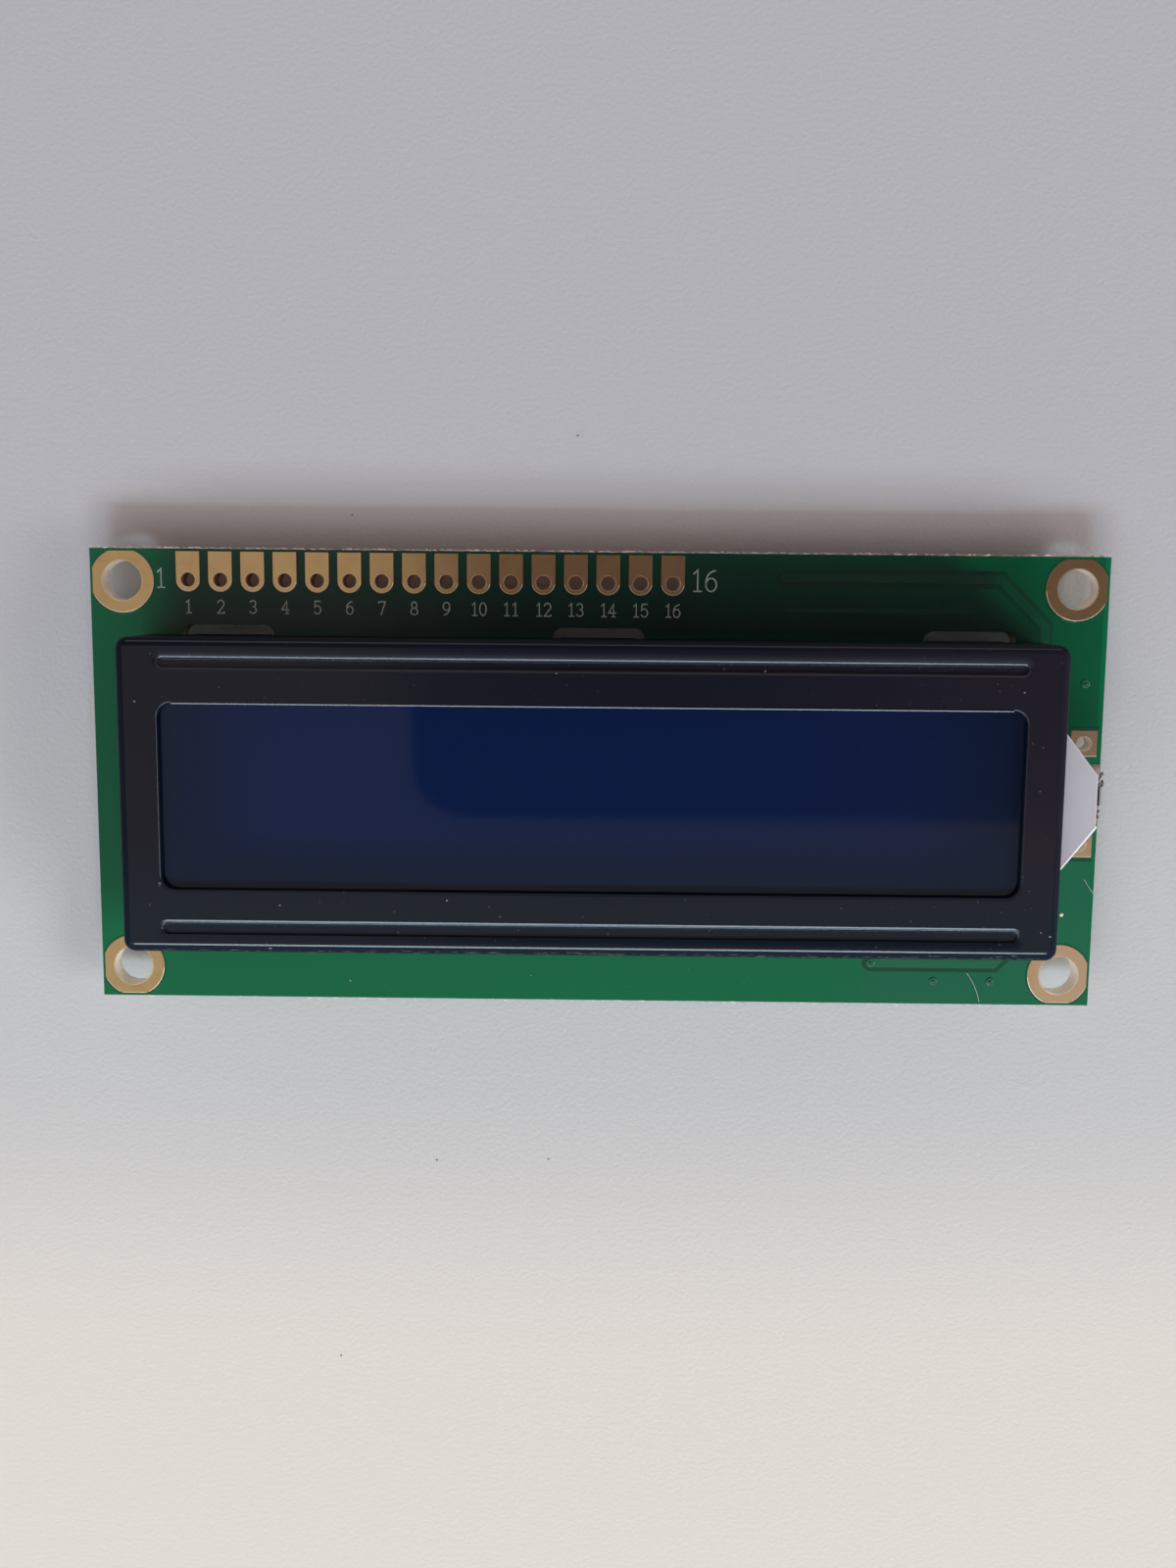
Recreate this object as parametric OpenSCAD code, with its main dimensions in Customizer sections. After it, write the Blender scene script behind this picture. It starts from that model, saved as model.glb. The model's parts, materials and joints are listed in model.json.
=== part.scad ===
// Character display module, sixteen columns by two rows.
// A liquid crystal cell and its side lit backlight are clamped to a green circuit board
// by a folded black sheet bezel, whose claws pass through slots in the board.
// Origin: centre of the four mounting holes, on the back face of the board.
// X runs along the board, Y runs towards the header row, Z points out of the display.

/* [Board] */
// Length of the circuit board
board_l = 80; // [72:0.5:100]
// Width of the circuit board
board_w = 36; // [32:0.5:44]
// Thickness of the circuit board
board_t = 1.6; // [1:0.1:2]
// Distance from each mounting hole's centre to the two nearest board edges
mount_inset = 2.5; // [2.2:0.1:2.6]
// Diameter of a mounting hole inside its plating
mount_hole_d = 3.1; // [2.5:0.1:3.3]
// Outer diameter of the plated ring round a mounting hole
mount_ring_d = 5; // [4.4:0.1:5.2]
// Bare strip left between the copper and the board's edge
edge_margin = 0.2; // [0.1:0.05:0.4]
// Thickness of the plated copper, on the faces and inside the holes
plating = 0.05; // [0.03:0.01:0.08]

/* [Header] */
// Number of header holes
header_count = 16; // [14:1:18]
// Distance between neighbouring header holes
header_pitch = 2.54; // [2:0.01:2.6]
// Distance from the left board edge to the first header hole
header_left = 7.7; // [6.6:0.1:10]
// Distance from the top board edge to the header holes
header_inset = 2.4; // [1.8:0.1:2.6]
// Diameter of a header hole inside its plating
header_hole_d = 1.1; // [0.8:0.05:1.2]
// Width of a header pad
header_pad_w = 1.85; // [1.6:0.05:1.95]

/* [Bezel] */
// Distance from the left board edge to the bezel
bezel_left = 3.9; // [3:0.1:5.5]
// Distance from the right board edge to the bezel, over which the backlight's nose reaches
bezel_right = 4.8; // [4.4:0.1:6]
// Distance from the top board edge to the bezel, where the header holes are
bezel_top = 6.7; // [5.8:0.1:8]
// Distance from the bottom board edge to the bezel
bezel_bottom = 5.3; // [4.6:0.1:6.5]
// Thickness of the bezel's steel sheet
sheet_t = 0.5; // [0.3:0.05:0.6]
// Outer radius of the bezel's folds
fold_r = 0.65; // [0.65:0.05:0.8]
// Radius of the bezel's corners seen from the front
corner_r = 0.9; // [0.85:0.05:1.4]
// Distance from each end of the bezel to the window
window_end = 3.1; // [2.6:0.1:6]
// Distance from each long side of the bezel to the window
window_side = 4.9; // [4.3:0.1:6]
// Radius of the window's corners
window_r = 1.1; // [0.5:0.1:2]
// Radius of the rolled edge that punching leaves round the window
window_roll = 0.16; // [0.05:0.01:0.25]
// Distance from each end of the bezel to the ends of the pressed beads
bead_end = 2.9; // [2.2:0.1:8]
// Width of a bead across its lips
bead_w = 1.3; // [1.1:0.05:1.4]
// Depth of a bead
bead_depth = 0.35; // [0.3:0.05:0.45]
// Radius of a bead's lips
bead_lip_r = 0.3; // [0.1:0.05:0.35]
// Slope of a bead's walls
bead_slope = 70; // [55:1:80]
// Radius of the gentle slope that pressing draws down outside each bead
bead_draw_r = 1.6; // [1:0.1:2.2]
// Angle of that slope where it meets the bead
bead_draw_angle = 24; // [8:1:24]

/* [Claws] */
// Distance from the bezel's left end to the middle of the left claws
claw_left = 6.9; // [6:0.1:10]
// Width of a claw
claw_w = 6; // [4:0.1:6.6]
// How far a claw runs straight below the board before it bends
claw_drop = 0.35; // [0.2:0.05:0.6]
// Inner radius of a claw's bend
claw_bend_r = 0.3; // [0.2:0.05:0.5]
// Angle through which a claw is bent inwards
claw_angle = 50; // [30:1:60]
// Length of a claw beyond its bend
claw_leg = 1.7; // [1.4:0.1:2.2]
// Radius of the corners at a claw's tip
claw_tip_r = 0.8; // [0.3:0.1:1.2]
// Room between a claw and the ends of its slot
slot_end_gap = 0.6; // [0.2:0.1:0.9]
// Room between a claw's inner face and its slot
slot_in_gap = 0.2; // [0.1:0.05:0.4]
// Room between a claw's outer face and its slot
slot_out_gap = 0.8; // [0.3:0.1:1]

/* [Display cell] */
// Thickness of each glass plate
glass_t = 0.7; // [0.5:0.05:1.1]
// Thickness of each polarizer film
polarizer_t = 0.2; // [0.12:0.01:0.25]
// How far the polarizers stop short of the rear glass edges
polarizer_inset = 0.5; // [0.3:0.1:0.7]
// How far the front glass stops short of the tray's long edges
glass_inset = 0.2; // [0.1:0.05:0.3]
// Length of the cured plug that closes the cell
plug_l = 3; // [2:0.1:4]
// Height of the plug, which stands out of the glass edge by half of it
plug_h = 0.9; // [0.6:0.05:1]

/* [Rubber connectors] */
// Distance from the ends of the tray's pocket to the ends of the connector strips
strip_end = 2.3; // [1.5:0.1:4]
// Width of a connector strip
strip_w = 1.2; // [1:0.05:1.3]
// Least distance from a strip's ends to the contact pads under it
contact_end = 1; // [0.5:0.1:3]
// Distance between neighbouring contact pads
contact_pitch = 1.3; // [1:0.05:2]
// Width of a contact pad
contact_w = 0.7; // [0.4:0.05:0.8]

/* [Backlight] */
// Clearance between pieces that nest in each other
fit = 0.2; // [0.1:0.05:0.25]
// Clearance between a connector strip and its slot in the tray
strip_gap = 0.05; // [0.02:0.01:0.08]
// Thickness of the tray's floor
floor_t = 0.6; // [0.4:0.05:1]
// Thickness of the rail outside each connector strip
outer_rail = 0.5; // [0.4:0.05:0.6]
// Thickness of the rail inside each connector strip
inner_rail = 0.4; // [0.3:0.05:0.6]
// Thickness of the tray's end walls
end_wall = 0.6; // [0.4:0.05:0.7]
// Gap between the tray's rim and the front glass
rim_gap = 0.1; // [0.05:0.01:0.2]
// Thickness of the reflector sheet
reflector_t = 0.15; // [0.1:0.01:0.2]
// Thickness of the light guide
guide_t = 3.55; // [3:0.05:4.5]
// Thickness of the diffuser sheet
diffuser_t = 0.25; // [0.15:0.01:0.4]
// Distance from the right board edge to the tip of the backlight's nose
nose_inset = 1.65; // [1.55:0.05:2]
// Width of the nose at its tip
nose_tip_w = 4; // [3.8:0.1:5]
// Distance from each long side of the tray's pocket to the nose's root
nose_shoulder = 2.2; // [1.8:0.1:4]
// Thickness of the nose's walls
nose_wall = 0.5; // [0.3:0.05:0.6]
// Gap between the nose and the board
nose_lift = 0.15; // [0.1:0.01:0.3]
// Thickness of the white film over the nose
film_t = 0.15; // [0.1:0.01:0.2]
// Room round the nose in the bezel's side
notch_gap = 0.3; // [0.2:0.05:0.5]

/* [Backlight lamp] */
// Length of the lamp
lamp_l = 2.1; // [1.6:0.1:2.8]
// Room round the lamp in the nose's tip
lamp_gap = 0.1; // [0.05:0.01:0.15]
// Depth of the lamp
lamp_d = 0.7; // [0.6:0.05:1]
// Height of the lamp
lamp_h = 1.6; // [1.2:0.1:2]
// Width of each lamp lead
lead_w = 0.7; // [0.5:0.05:0.8]
// Thickness of each lamp lead
lead_t = 0.2; // [0.1:0.05:0.25]
// Length of each lead's foot
lead_foot = 1.1; // [0.8:0.05:1.15]
// Gap between the leads and the nose
lead_gap = 0.05; // [0.02:0.01:0.08]
// Width of each lamp pad, along the board's edge
lamp_pad_w = 2; // [1.2:0.05:2.3]
// Length of each lamp pad, from its inner end to the board's edge
lamp_pad_l = 1.5; // [1.3:0.05:1.7]

/* [Backlight supply pads] */
// Side of each square supply pad
supply_pad = 2.06; // [1.8:0.01:2.2]
// Distance from the right board edge to the supply holes
supply_inset = 1.4; // [1.35:0.05:1.6]
// Distance of the supply holes from the display's centre line
supply_y = 4.05; // [3.9:0.05:5]
// Diameter of a supply hole inside its plating
supply_hole_d = 1.1; // [0.8:0.05:1.3]

/* [Chips on the back] */
// Diameter of the resin over each chip
blob_d = 13; // [10:0.5:15]
// Height of the resin over each chip
blob_h = 1.25; // [0.8:0.05:1.3]
// Distance of each chip from the board's centre, along the board
blob_x = 15; // [13:0.5:22]
// Distance of the chips from the board's centre, towards the bottom edge
blob_drop = 2.5; // [0:0.5:3]

/* [Small components on the back] */
// Length of a chip component
chip_l = 2; // [1.6:0.1:2.2]
// Width of a chip component
chip_w = 1.25; // [0.8:0.05:1.4]
// Height of a chip resistor
resistor_h = 0.5; // [0.4:0.05:0.6]
// Height of a chip capacitor
capacitor_h = 0.8; // [0.6:0.05:1]
// Length of the metal end of a chip component
chip_end = 0.35; // [0.2:0.05:0.45]
// Length of a component's solder land
land_l = 1.1; // [0.8:0.05:1.2]
// Width of a component's solder land
land_w = 1.4; // [1.4:0.05:1.6]
// How far a land runs under the component
land_lap = 0.5; // [0.45:0.05:0.6]
// Distance between neighbouring rows of components
chip_row = 3; // [2.4:0.1:3.2]
// Distance of the two columns of components from the board's centre
chip_column = 2.6; // [2.4:0.1:2.9]
// Number of rows of components
chip_rows = 5; // [4:1:5]
// Number of rows in the second column that hold resistors
second_resistors = 2; // [1:1:3]
// Height of the first row above the board's centre
chip_top = 6.5; // [6:0.1:7]
// Side of each solder bridge pad
bridge_pad = 1.1; // [0.8:0.05:1.3]
// Gap between the two pads of a solder bridge
bridge_gap = 0.35; // [0.2:0.05:0.6]
// Number of solder bridges
bridge_count = 3; // [1:1:4]
// Distance between neighbouring solder bridges
bridge_pitch = 2.4; // [1.6:0.1:2.6]
// Distance from the left board edge to the middle of the solder bridges
bridge_left = 11.5; // [9:0.1:14]

/* [Hidden] */
// Every separate piece, or set of like pieces, of the module

$fn = 64;
// A little extra length for cutting tools
cut = 1;

// The bezel, whose centre is the display's centre
bezel_l = board_l - bezel_left - bezel_right;
bezel_w = board_w - bezel_top - bezel_bottom;
display_x = (bezel_left - bezel_right) / 2;
display_y = (bezel_bottom - bezel_top) / 2;
window_l = bezel_l - 2 * window_end;
window_w = bezel_w - 2 * window_side;
bead_straight = bezel_l - 2 * bead_end - bead_w;

// Levels of the stack, from the board up
reflector_z = board_t + floor_t;
guide_z = reflector_z + reflector_t;
diffuser_z = guide_z + guide_t;
rear_polarizer_z = diffuser_z + diffuser_t;
rear_glass_z = rear_polarizer_z + polarizer_t;
front_glass_z = rear_glass_z + glass_t;
front_polarizer_z = front_glass_z + glass_t;
bezel_z = front_polarizer_z + bead_depth + sheet_t;
nose_top_z = diffuser_z + film_t;
rim_z = front_glass_z - rim_gap;
nose_floor_z = board_t + nose_lift;

// Sizes that nest inside the bezel
tray_l = bezel_l - 2 * (sheet_t + fit);
tray_w = bezel_w - 2 * (sheet_t + fit);
strip_y = tray_w / 2 - outer_rail - strip_gap - strip_w / 2;
pocket_l = tray_l - 2 * end_wall;
pocket_w = 2 * (strip_y - strip_w / 2 - strip_gap - inner_rail);
strip_l = pocket_l - 2 * strip_end;
contact_count = 1 + floor((strip_l - 2 * contact_end - contact_w) / contact_pitch);
cell_l = pocket_l - 2 * fit;
rear_glass_w = pocket_w - 2 * fit;
front_glass_w = tray_w - 2 * glass_inset;
polarizer_l = cell_l - 2 * polarizer_inset;
polarizer_w = rear_glass_w - 2 * polarizer_inset;
sheet_l = pocket_l - 2 * fit;
sheet_w = pocket_w - 2 * fit;

// The nose, measured from the display's centre
nose_tip_x = board_l / 2 - nose_inset - display_x;
nose_base_x = tray_l / 2;
nose_base_w = pocket_w - 2 * nose_shoulder;
nose_slope = (nose_base_w - nose_tip_w) / 2 / (nose_tip_x - nose_base_x);
lamp_x = nose_tip_x - nose_wall;
lamp_z = guide_z + guide_t / 2;
lead_x = nose_tip_x + lead_gap;
lead_y = (lamp_l + lead_w) / 2;
lead_bend_r = 2 * lead_t;
nose_wall_across = nose_wall * sqrt(1 + pow(nose_slope, 2));

// Section of a bead
bead_c = bead_w / 2;
bead_lip_end = bead_lip_r * (1 - cos(bead_slope));
bead_floor = bead_c - bead_lip_r * sin(bead_slope)
    - (bead_depth - bead_lip_end) / tan(bead_slope);
bulge_floor = bead_floor + sheet_t * tan(bead_slope / 2);
bulge_top = bulge_floor + bead_depth / tan(bead_slope);
draw_depth = bead_draw_r * (1 - cos(bead_draw_angle));
draw_in = bead_c - bead_lip_r;
draw_out = draw_in + bead_draw_r * sin(bead_draw_angle);

// Claws and their slots, measured from the display's centre. The middle claw is on the
// board's centre.
flange_in = bezel_w / 2 - sheet_t;
claw_pivot_y = flange_in - claw_bend_r;
claw_out_r = claw_bend_r + sheet_t;
claw_pitch = bezel_l / 2 - claw_left - display_x;
claw_places = [for (i = [-1 : 1]) i * claw_pitch - display_x];
slot_w = sheet_t + slot_in_gap + slot_out_gap;
slot_l = claw_w + 2 * slot_end_gap;
slot_y = flange_in - slot_in_gap + slot_w / 2;

// Radius of the ball that the resin's dome is part of
blob_r = (pow(blob_d / 2, 2) + pow(blob_h, 2)) / (2 * blob_h);

// Holes of the board
mount_x = board_l / 2 - mount_inset;
mount_y = board_w / 2 - mount_inset;
header_x = header_left - board_l / 2;
header_y = board_w / 2 - header_inset;
supply_x = board_l / 2 - supply_inset;
bridge_x = bridge_left - board_l / 2;

// Components on the back
resistor_places = concat(
    [for (row = [0 : chip_rows - 1]) [-chip_column, chip_top - row * chip_row]],
    [for (row = [0 : second_resistors - 1]) [chip_column, chip_top - row * chip_row]]);
capacitor_places =
    [for (row = [second_resistors : chip_rows - 1]) [chip_column, chip_top - row * chip_row]];

// Colours
mask_green = [0.10, 0.42, 0.27];
gold = [0.74, 0.62, 0.40];
bezel_black = [0.10, 0.10, 0.12];
plastic_white = [0.93, 0.93, 0.94];
tin = [0.75, 0.75, 0.76];

// Half width of the nose at a distance from the display's centre, less a wall
function nose_half(x, wall) = nose_tip_w / 2 + (nose_tip_x - x) * nose_slope - wall;

// Place something on the display's centre
module at_display() {
    translate([display_x, display_y, 0]) children();
}

// Repeat something on both long sides of the display
module both_sides() {
    for (flip = [0, 1]) mirror([0, flip, 0]) children();
}

// A slot outline with round ends
module slot_outline(l, w) {
    square([l - w, w], center = true);
    for (side = [-1, 1]) translate([side * (l - w) / 2, 0]) circle(d = w);
}

// A rectangle with round corners
module round_rect(l, w, r) {
    square([l - 2 * r, w], center = true);
    square([l, w - 2 * r], center = true);
    for (sx = [-1, 1], sy = [-1, 1])
        translate([sx * (l / 2 - r), sy * (w / 2 - r)]) circle(r);
}

// A quarter ring from the top, round to the outside
module quarter_ring(r_out, r_in) {
    intersection() {
        difference() {
            circle(r_out);
            circle(r_in);
        }
        square(r_out);
    }
}

// Board

// Centres of the mounting holes
module at_mounts() {
    for (sx = [-1, 1], sy = [-1, 1]) translate([sx * mount_x, sy * mount_y]) children();
}

// Centres of the header holes
module at_header() {
    for (i = [0 : header_count - 1])
        translate([header_x + i * header_pitch, header_y]) children();
}

// Centres of the backlight's supply holes
module at_supply() {
    for (side = [-1, 1]) translate([supply_x, display_y + side * supply_y]) children();
}

module printed_board() {
    color(mask_green) linear_extrude(board_t) difference() {
        square([board_l, board_w], center = true);
        at_mounts() circle(d = mount_hole_d + 2 * plating);
        at_header() circle(d = header_hole_d + 2 * plating);
        at_supply() circle(d = supply_hole_d + 2 * plating);
        at_display() both_sides()
            for (x = claw_places) translate([x, slot_y]) slot_outline(slot_l, slot_w);
    }
}

// A plated hole: a land of the given outline on each face and the sleeve that joins them
module plated_hole(hole_d) {
    difference() {
        union() {
            for (z = [-plating, board_t]) translate([0, 0, z]) linear_extrude(plating) children();
            cylinder(h = board_t, d = hole_d + 2 * plating);
        }
        translate([0, 0, -cut]) cylinder(h = board_t + 2 * cut, d = hole_d);
    }
}

// The rings stop short of the board's edges, which trims their round outline
module corner_rings() {
    reach = mount_inset - edge_margin;
    color(gold)
    for (sx = [-1, 1], sy = [-1, 1])
        translate([sx * mount_x, sy * mount_y]) plated_hole(mount_hole_d) intersection() {
            circle(d = mount_ring_d);
            translate([sx * (reach - board_l / 2), sy * (reach - board_w / 2)])
                square([board_l, board_w], center = true);
        }
}

module header_pads() {
    color(gold) at_header() plated_hole(header_hole_d) {
        circle(d = header_pad_w);
        translate([-header_pad_w / 2, 0]) square([header_pad_w, header_inset - edge_margin]);
    }
}

module supply_pads() {
    color(gold) at_supply() plated_hole(supply_hole_d) square(supply_pad, center = true);
}

// The lamp's leads are soldered to these two lands at the board's right edge
module lamp_pads() {
    color(gold) for (side = [-1, 1])
        translate([board_l / 2 - lamp_pad_l, display_y + side * lead_y, board_t])
            linear_extrude(plating) translate([0, -lamp_pad_w / 2])
                square([lamp_pad_l, lamp_pad_w]);
}

// One row of contact pads, which a connector strip presses on
module contact_row(side) {
    span = (contact_count - 1) * contact_pitch;
    color(gold) at_display() for (i = [0 : contact_count - 1])
        translate([i * contact_pitch - span / 2, side * strip_y, board_t + plating / 2])
            cube([contact_w, strip_w, plating], center = true);
}

module upper_contacts() {
    contact_row(1);
}

module lower_contacts() {
    contact_row(-1);
}

// Bezel

// Section of one folded side: the fold itself and the flange down to the board
module fold_section() {
    translate([-fold_r, bezel_z - fold_r]) quarter_ring(fold_r, fold_r - sheet_t);
    translate([-sheet_t, board_t]) square([sheet_t, bezel_z - fold_r - board_t]);
}

// The hollow of a bead, from its middle out: flat bottom, sloping wall and round lip
module bead_hollow() {
    difference() {
        polygon([[0, cut], [0, -bead_depth], [bead_floor, -bead_depth],
                 [bead_c - bead_lip_r * sin(bead_slope), -bead_lip_end],
                 [bead_c, -bead_lip_r], [bead_c, cut]]);
        translate([bead_c, -bead_lip_r]) circle(bead_lip_r);
    }
}

// The bulge of a bead on the inside, from its middle out
module bead_bulge() {
    polygon([[0, -sheet_t / 2], [0, -bead_depth - sheet_t],
             [bulge_floor, -bead_depth - sheet_t], [bulge_top, -sheet_t],
             [bulge_top, -sheet_t / 2]]);
}

// The hollow that pressing draws down outside a bead, from the bead's middle out
module bead_draw() {
    difference() {
        polygon([[0, cut], [0, -draw_depth], [draw_in, -draw_depth],
                 [draw_out, -bead_draw_r], [draw_out, cut]]);
        translate([draw_out, -bead_draw_r]) circle(bead_draw_r);
    }
}

// Sweep half a bead's section along both sides of the bead and round its two ends
module bead() {
    for (flip = [0, 1]) mirror([0, flip, 0])
        rotate([90, 0, 90]) linear_extrude(bead_straight, center = true) children();
    for (side = [-1, 1])
        translate([side * bead_straight / 2, 0, 0]) rotate_extrude() children();
}

// Sweep a section along a bead's outer side and a quarter of the way round its ends
module bead_outside() {
    rotate([90, 0, 90]) linear_extrude(bead_straight, center = true) children();
    for (flip = [0, 1]) mirror([flip, 0, 0])
        translate([bead_straight / 2, 0, 0]) rotate_extrude(angle = 90) children();
}

// Sweep a section round the inside of a rounded rectangle's outline.
// The section's x runs outwards from the outline and its y runs up.
module sweep_round(l, w, r) {
    for (turn = [0, 180]) rotate([0, 0, turn]) translate([0, w / 2, 0])
        rotate([90, 0, 90]) linear_extrude(l - 2 * r, center = true) children();
    for (turn = [90, 270]) rotate([0, 0, turn]) translate([0, l / 2, 0])
        rotate([90, 0, 90]) linear_extrude(w - 2 * r, center = true) children();
    for (flip_x = [0, 1], flip_y = [0, 1]) mirror([flip_x, 0, 0]) mirror([0, flip_y, 0])
        translate([l / 2 - r, w / 2 - r, 0]) rotate_extrude(angle = 90)
            translate([r, 0]) children();
}

// What punching rolls off the window's front edge
module window_roll_section() {
    difference() {
        translate([-cut / 2, -window_roll]) square([window_roll + cut / 2, window_roll + cut]);
        translate([window_roll, -window_roll]) circle(window_roll);
        translate([window_roll, -window_roll]) square(window_roll);
    }
}

// Front plate of the bezel, inside its folds
module bezel_plate() {
    translate([0, 0, bezel_z - sheet_t]) linear_extrude(sheet_t) {
        square([bezel_l - 2 * fold_r, bezel_w - 2 * corner_r], center = true);
        square([bezel_l - 2 * corner_r, bezel_w - 2 * fold_r], center = true);
    }
}

// A folded side of the given length, at the given distance from the centre
module bezel_side(distance, length) {
    translate([0, distance, 0]) rotate([90, 0, 90])
        linear_extrude(length, center = true) fold_section();
}

// A corner has the fold but no flange, so it can be folded from flat sheet
module bezel_corner() {
    translate([bezel_l / 2 - corner_r, bezel_w / 2 - corner_r, bezel_z])
        rotate_extrude(angle = 90) {
            translate([corner_r - fold_r, -fold_r]) quarter_ring(fold_r, fold_r - sheet_t);
            translate([0, -sheet_t]) square([corner_r - fold_r, sheet_t]);
        }
}

// Section of a claw where it leaves the flange, goes through the board and bends inwards
module claw_section() {
    translate([claw_bend_r, 0]) square([sheet_t, board_t + claw_drop]);
    intersection() {
        difference() {
            circle(claw_out_r);
            circle(claw_bend_r);
        }
        rotate(-claw_angle) square(2 * claw_out_r);
        rotate(-90) square(2 * claw_out_r);
    }
}

// The straight end of a claw, with round corners
module claw_tip_outline() {
    translate([-claw_w / 2, claw_tip_r - claw_leg]) square([claw_w, claw_leg - claw_tip_r]);
    translate([claw_tip_r - claw_w / 2, -claw_leg]) square([claw_w - 2 * claw_tip_r, claw_leg]);
    for (side = [-1, 1])
        translate([side * (claw_w / 2 - claw_tip_r), claw_tip_r - claw_leg]) circle(claw_tip_r);
}

module claw() {
    translate([0, claw_pivot_y, -claw_drop]) {
        rotate([90, 0, 90]) linear_extrude(claw_w, center = true) claw_section();
        rotate([-claw_angle, 0, 0]) translate([0, claw_out_r, 0]) rotate([90, 0, 0])
            linear_extrude(sheet_t) claw_tip_outline();
    }
}

// The bezel's right flange is cut away where the nose comes out
module nose_notch() {
    half = nose_half(bezel_l / 2 - sheet_t, 0) + notch_gap;
    translate([bezel_l / 2 - sheet_t - cut, -half, board_t - cut])
        cube([sheet_t + 2 * cut, 2 * half, nose_top_z + notch_gap - board_t + cut]);
}

module bezel_frame() {
    color(bezel_black) at_display() difference() {
        union() {
            bezel_plate();
            for (turn = [0, 180]) rotate([0, 0, turn])
                bezel_side(bezel_w / 2, bezel_l - 2 * corner_r);
            for (turn = [90, 270]) rotate([0, 0, turn])
                bezel_side(bezel_l / 2, bezel_w - 2 * corner_r);
            for (flip_x = [0, 1], flip_y = [0, 1])
                mirror([flip_x, 0, 0]) mirror([0, flip_y, 0]) bezel_corner();
            both_sides() {
                translate([0, strip_y, bezel_z]) bead() bead_bulge();
                for (x = claw_places) translate([x, 0, 0]) claw();
            }
        }
        both_sides() translate([0, strip_y, bezel_z]) {
            bead() bead_hollow();
            bead_outside() bead_draw();
        }
        translate([0, 0, bezel_z - sheet_t - cut]) linear_extrude(sheet_t + 2 * cut)
            round_rect(window_l, window_w, window_r);
        translate([0, 0, bezel_z]) sweep_round(window_l, window_w, window_r)
            window_roll_section();
        nose_notch();
    }
}

// Display cell

// A flat sheet or plate on the display's centre
module sheet(l, w, z, t) {
    at_display() translate([-l / 2, -w / 2, z]) cube([l, w, t]);
}

module front_polarizer() {
    color([0.08, 0.12, 0.26]) sheet(polarizer_l, polarizer_w, front_polarizer_z, polarizer_t);
}

module front_glass() {
    color([0.45, 0.60, 0.66]) sheet(cell_l, front_glass_w, front_glass_z, glass_t);
}

module rear_glass() {
    color([0.45, 0.60, 0.66]) sheet(cell_l, rear_glass_w, rear_glass_z, glass_t);
}

module rear_polarizer() {
    color([0.20, 0.24, 0.34]) sheet(polarizer_l, polarizer_w, rear_polarizer_z, polarizer_t);
}

// The plug is a half round bead of resin on the left edge of the two glass plates
module fill_port_plug() {
    color([0.80, 0.72, 0.45]) at_display() translate([-cell_l / 2, 0, front_glass_z])
        rotate([90, 0, 0]) linear_extrude(plug_l, center = true) intersection() {
            circle(d = plug_h);
            translate([-plug_h, -plug_h / 2]) square(plug_h);
        }
}

// Rubber connector strips

module connector_strip(side) {
    z = board_t + plating;
    color([0.30, 0.32, 0.36]) at_display()
        translate([-strip_l / 2, side * strip_y - strip_w / 2, z])
            cube([strip_l, strip_w, front_glass_z - z]);
}

module upper_connector_strip() {
    connector_strip(1);
}

module lower_connector_strip() {
    connector_strip(-1);
}

// Backlight

// Part of the nose between two distances from the display's centre, inside a wall
module nose_area(x0, x1, wall) {
    polygon([[x0, -nose_half(x0, wall)], [x1, -nose_half(x1, wall)],
             [x1, nose_half(x1, wall)], [x0, nose_half(x0, wall)]]);
}

module backlight_tray() {
    color(plastic_white) at_display() difference() {
        union() {
            translate([0, 0, board_t]) linear_extrude(rim_z - board_t)
                square([tray_l, tray_w], center = true);
            translate([0, 0, nose_floor_z]) linear_extrude(diffuser_z - nose_floor_z)
                nose_area(pocket_l / 2, nose_tip_x, 0);
        }
        translate([0, 0, reflector_z]) linear_extrude(rim_z)
            square([pocket_l, pocket_w], center = true);
        translate([0, 0, reflector_z]) linear_extrude(diffuser_z - reflector_z)
            nose_area(pocket_l / 2 - cut, lamp_x, nose_wall_across);
        translate([0, 0, diffuser_z]) linear_extrude(rim_z)
            nose_area(nose_base_x, nose_tip_x, 0);
        translate([lamp_x - cut, -lamp_l / 2 - lamp_gap, lamp_z - lamp_h / 2 - lamp_gap])
            cube([nose_wall + 2 * cut, lamp_l + 2 * lamp_gap, guide_t]);
        for (side = [-1, 1]) translate([0, side * strip_y, board_t - cut])
            linear_extrude(rim_z)
                square([strip_l + 2 * strip_gap, strip_w + 2 * strip_gap], center = true);
        translate([-tray_l / 2 - cut, -plug_l / 2 - fit, front_glass_z - plug_h / 2 - fit])
            cube([end_wall + 2 * cut, plug_l + 2 * fit, plug_h]);
    }
}

// Outline of the light guide and of the reflector under it
module guide_outline() {
    square([sheet_l, sheet_w], center = true);
    nose_area(sheet_l / 2 - cut, lamp_x, nose_wall_across + fit);
}

module reflector_sheet() {
    color([0.96, 0.96, 0.96]) at_display() translate([0, 0, reflector_z])
        linear_extrude(reflector_t) guide_outline();
}

module light_guide() {
    color([0.85, 0.90, 0.92]) at_display() translate([0, 0, guide_z])
        linear_extrude(guide_t) guide_outline();
}

module diffuser_sheet() {
    color([0.94, 0.94, 0.90]) sheet(sheet_l, sheet_w, diffuser_z, diffuser_t);
}

module nose_film() {
    color([0.90, 0.90, 0.93]) at_display() translate([0, 0, diffuser_z])
        linear_extrude(film_t) nose_area(nose_base_x, nose_tip_x, 0);
}

module backlight_lamp() {
    color([0.35, 0.35, 0.36]) at_display()
        translate([lamp_x, -lamp_l / 2, lamp_z - lamp_h / 2]) cube([lamp_d, lamp_l, lamp_h]);
}

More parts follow.
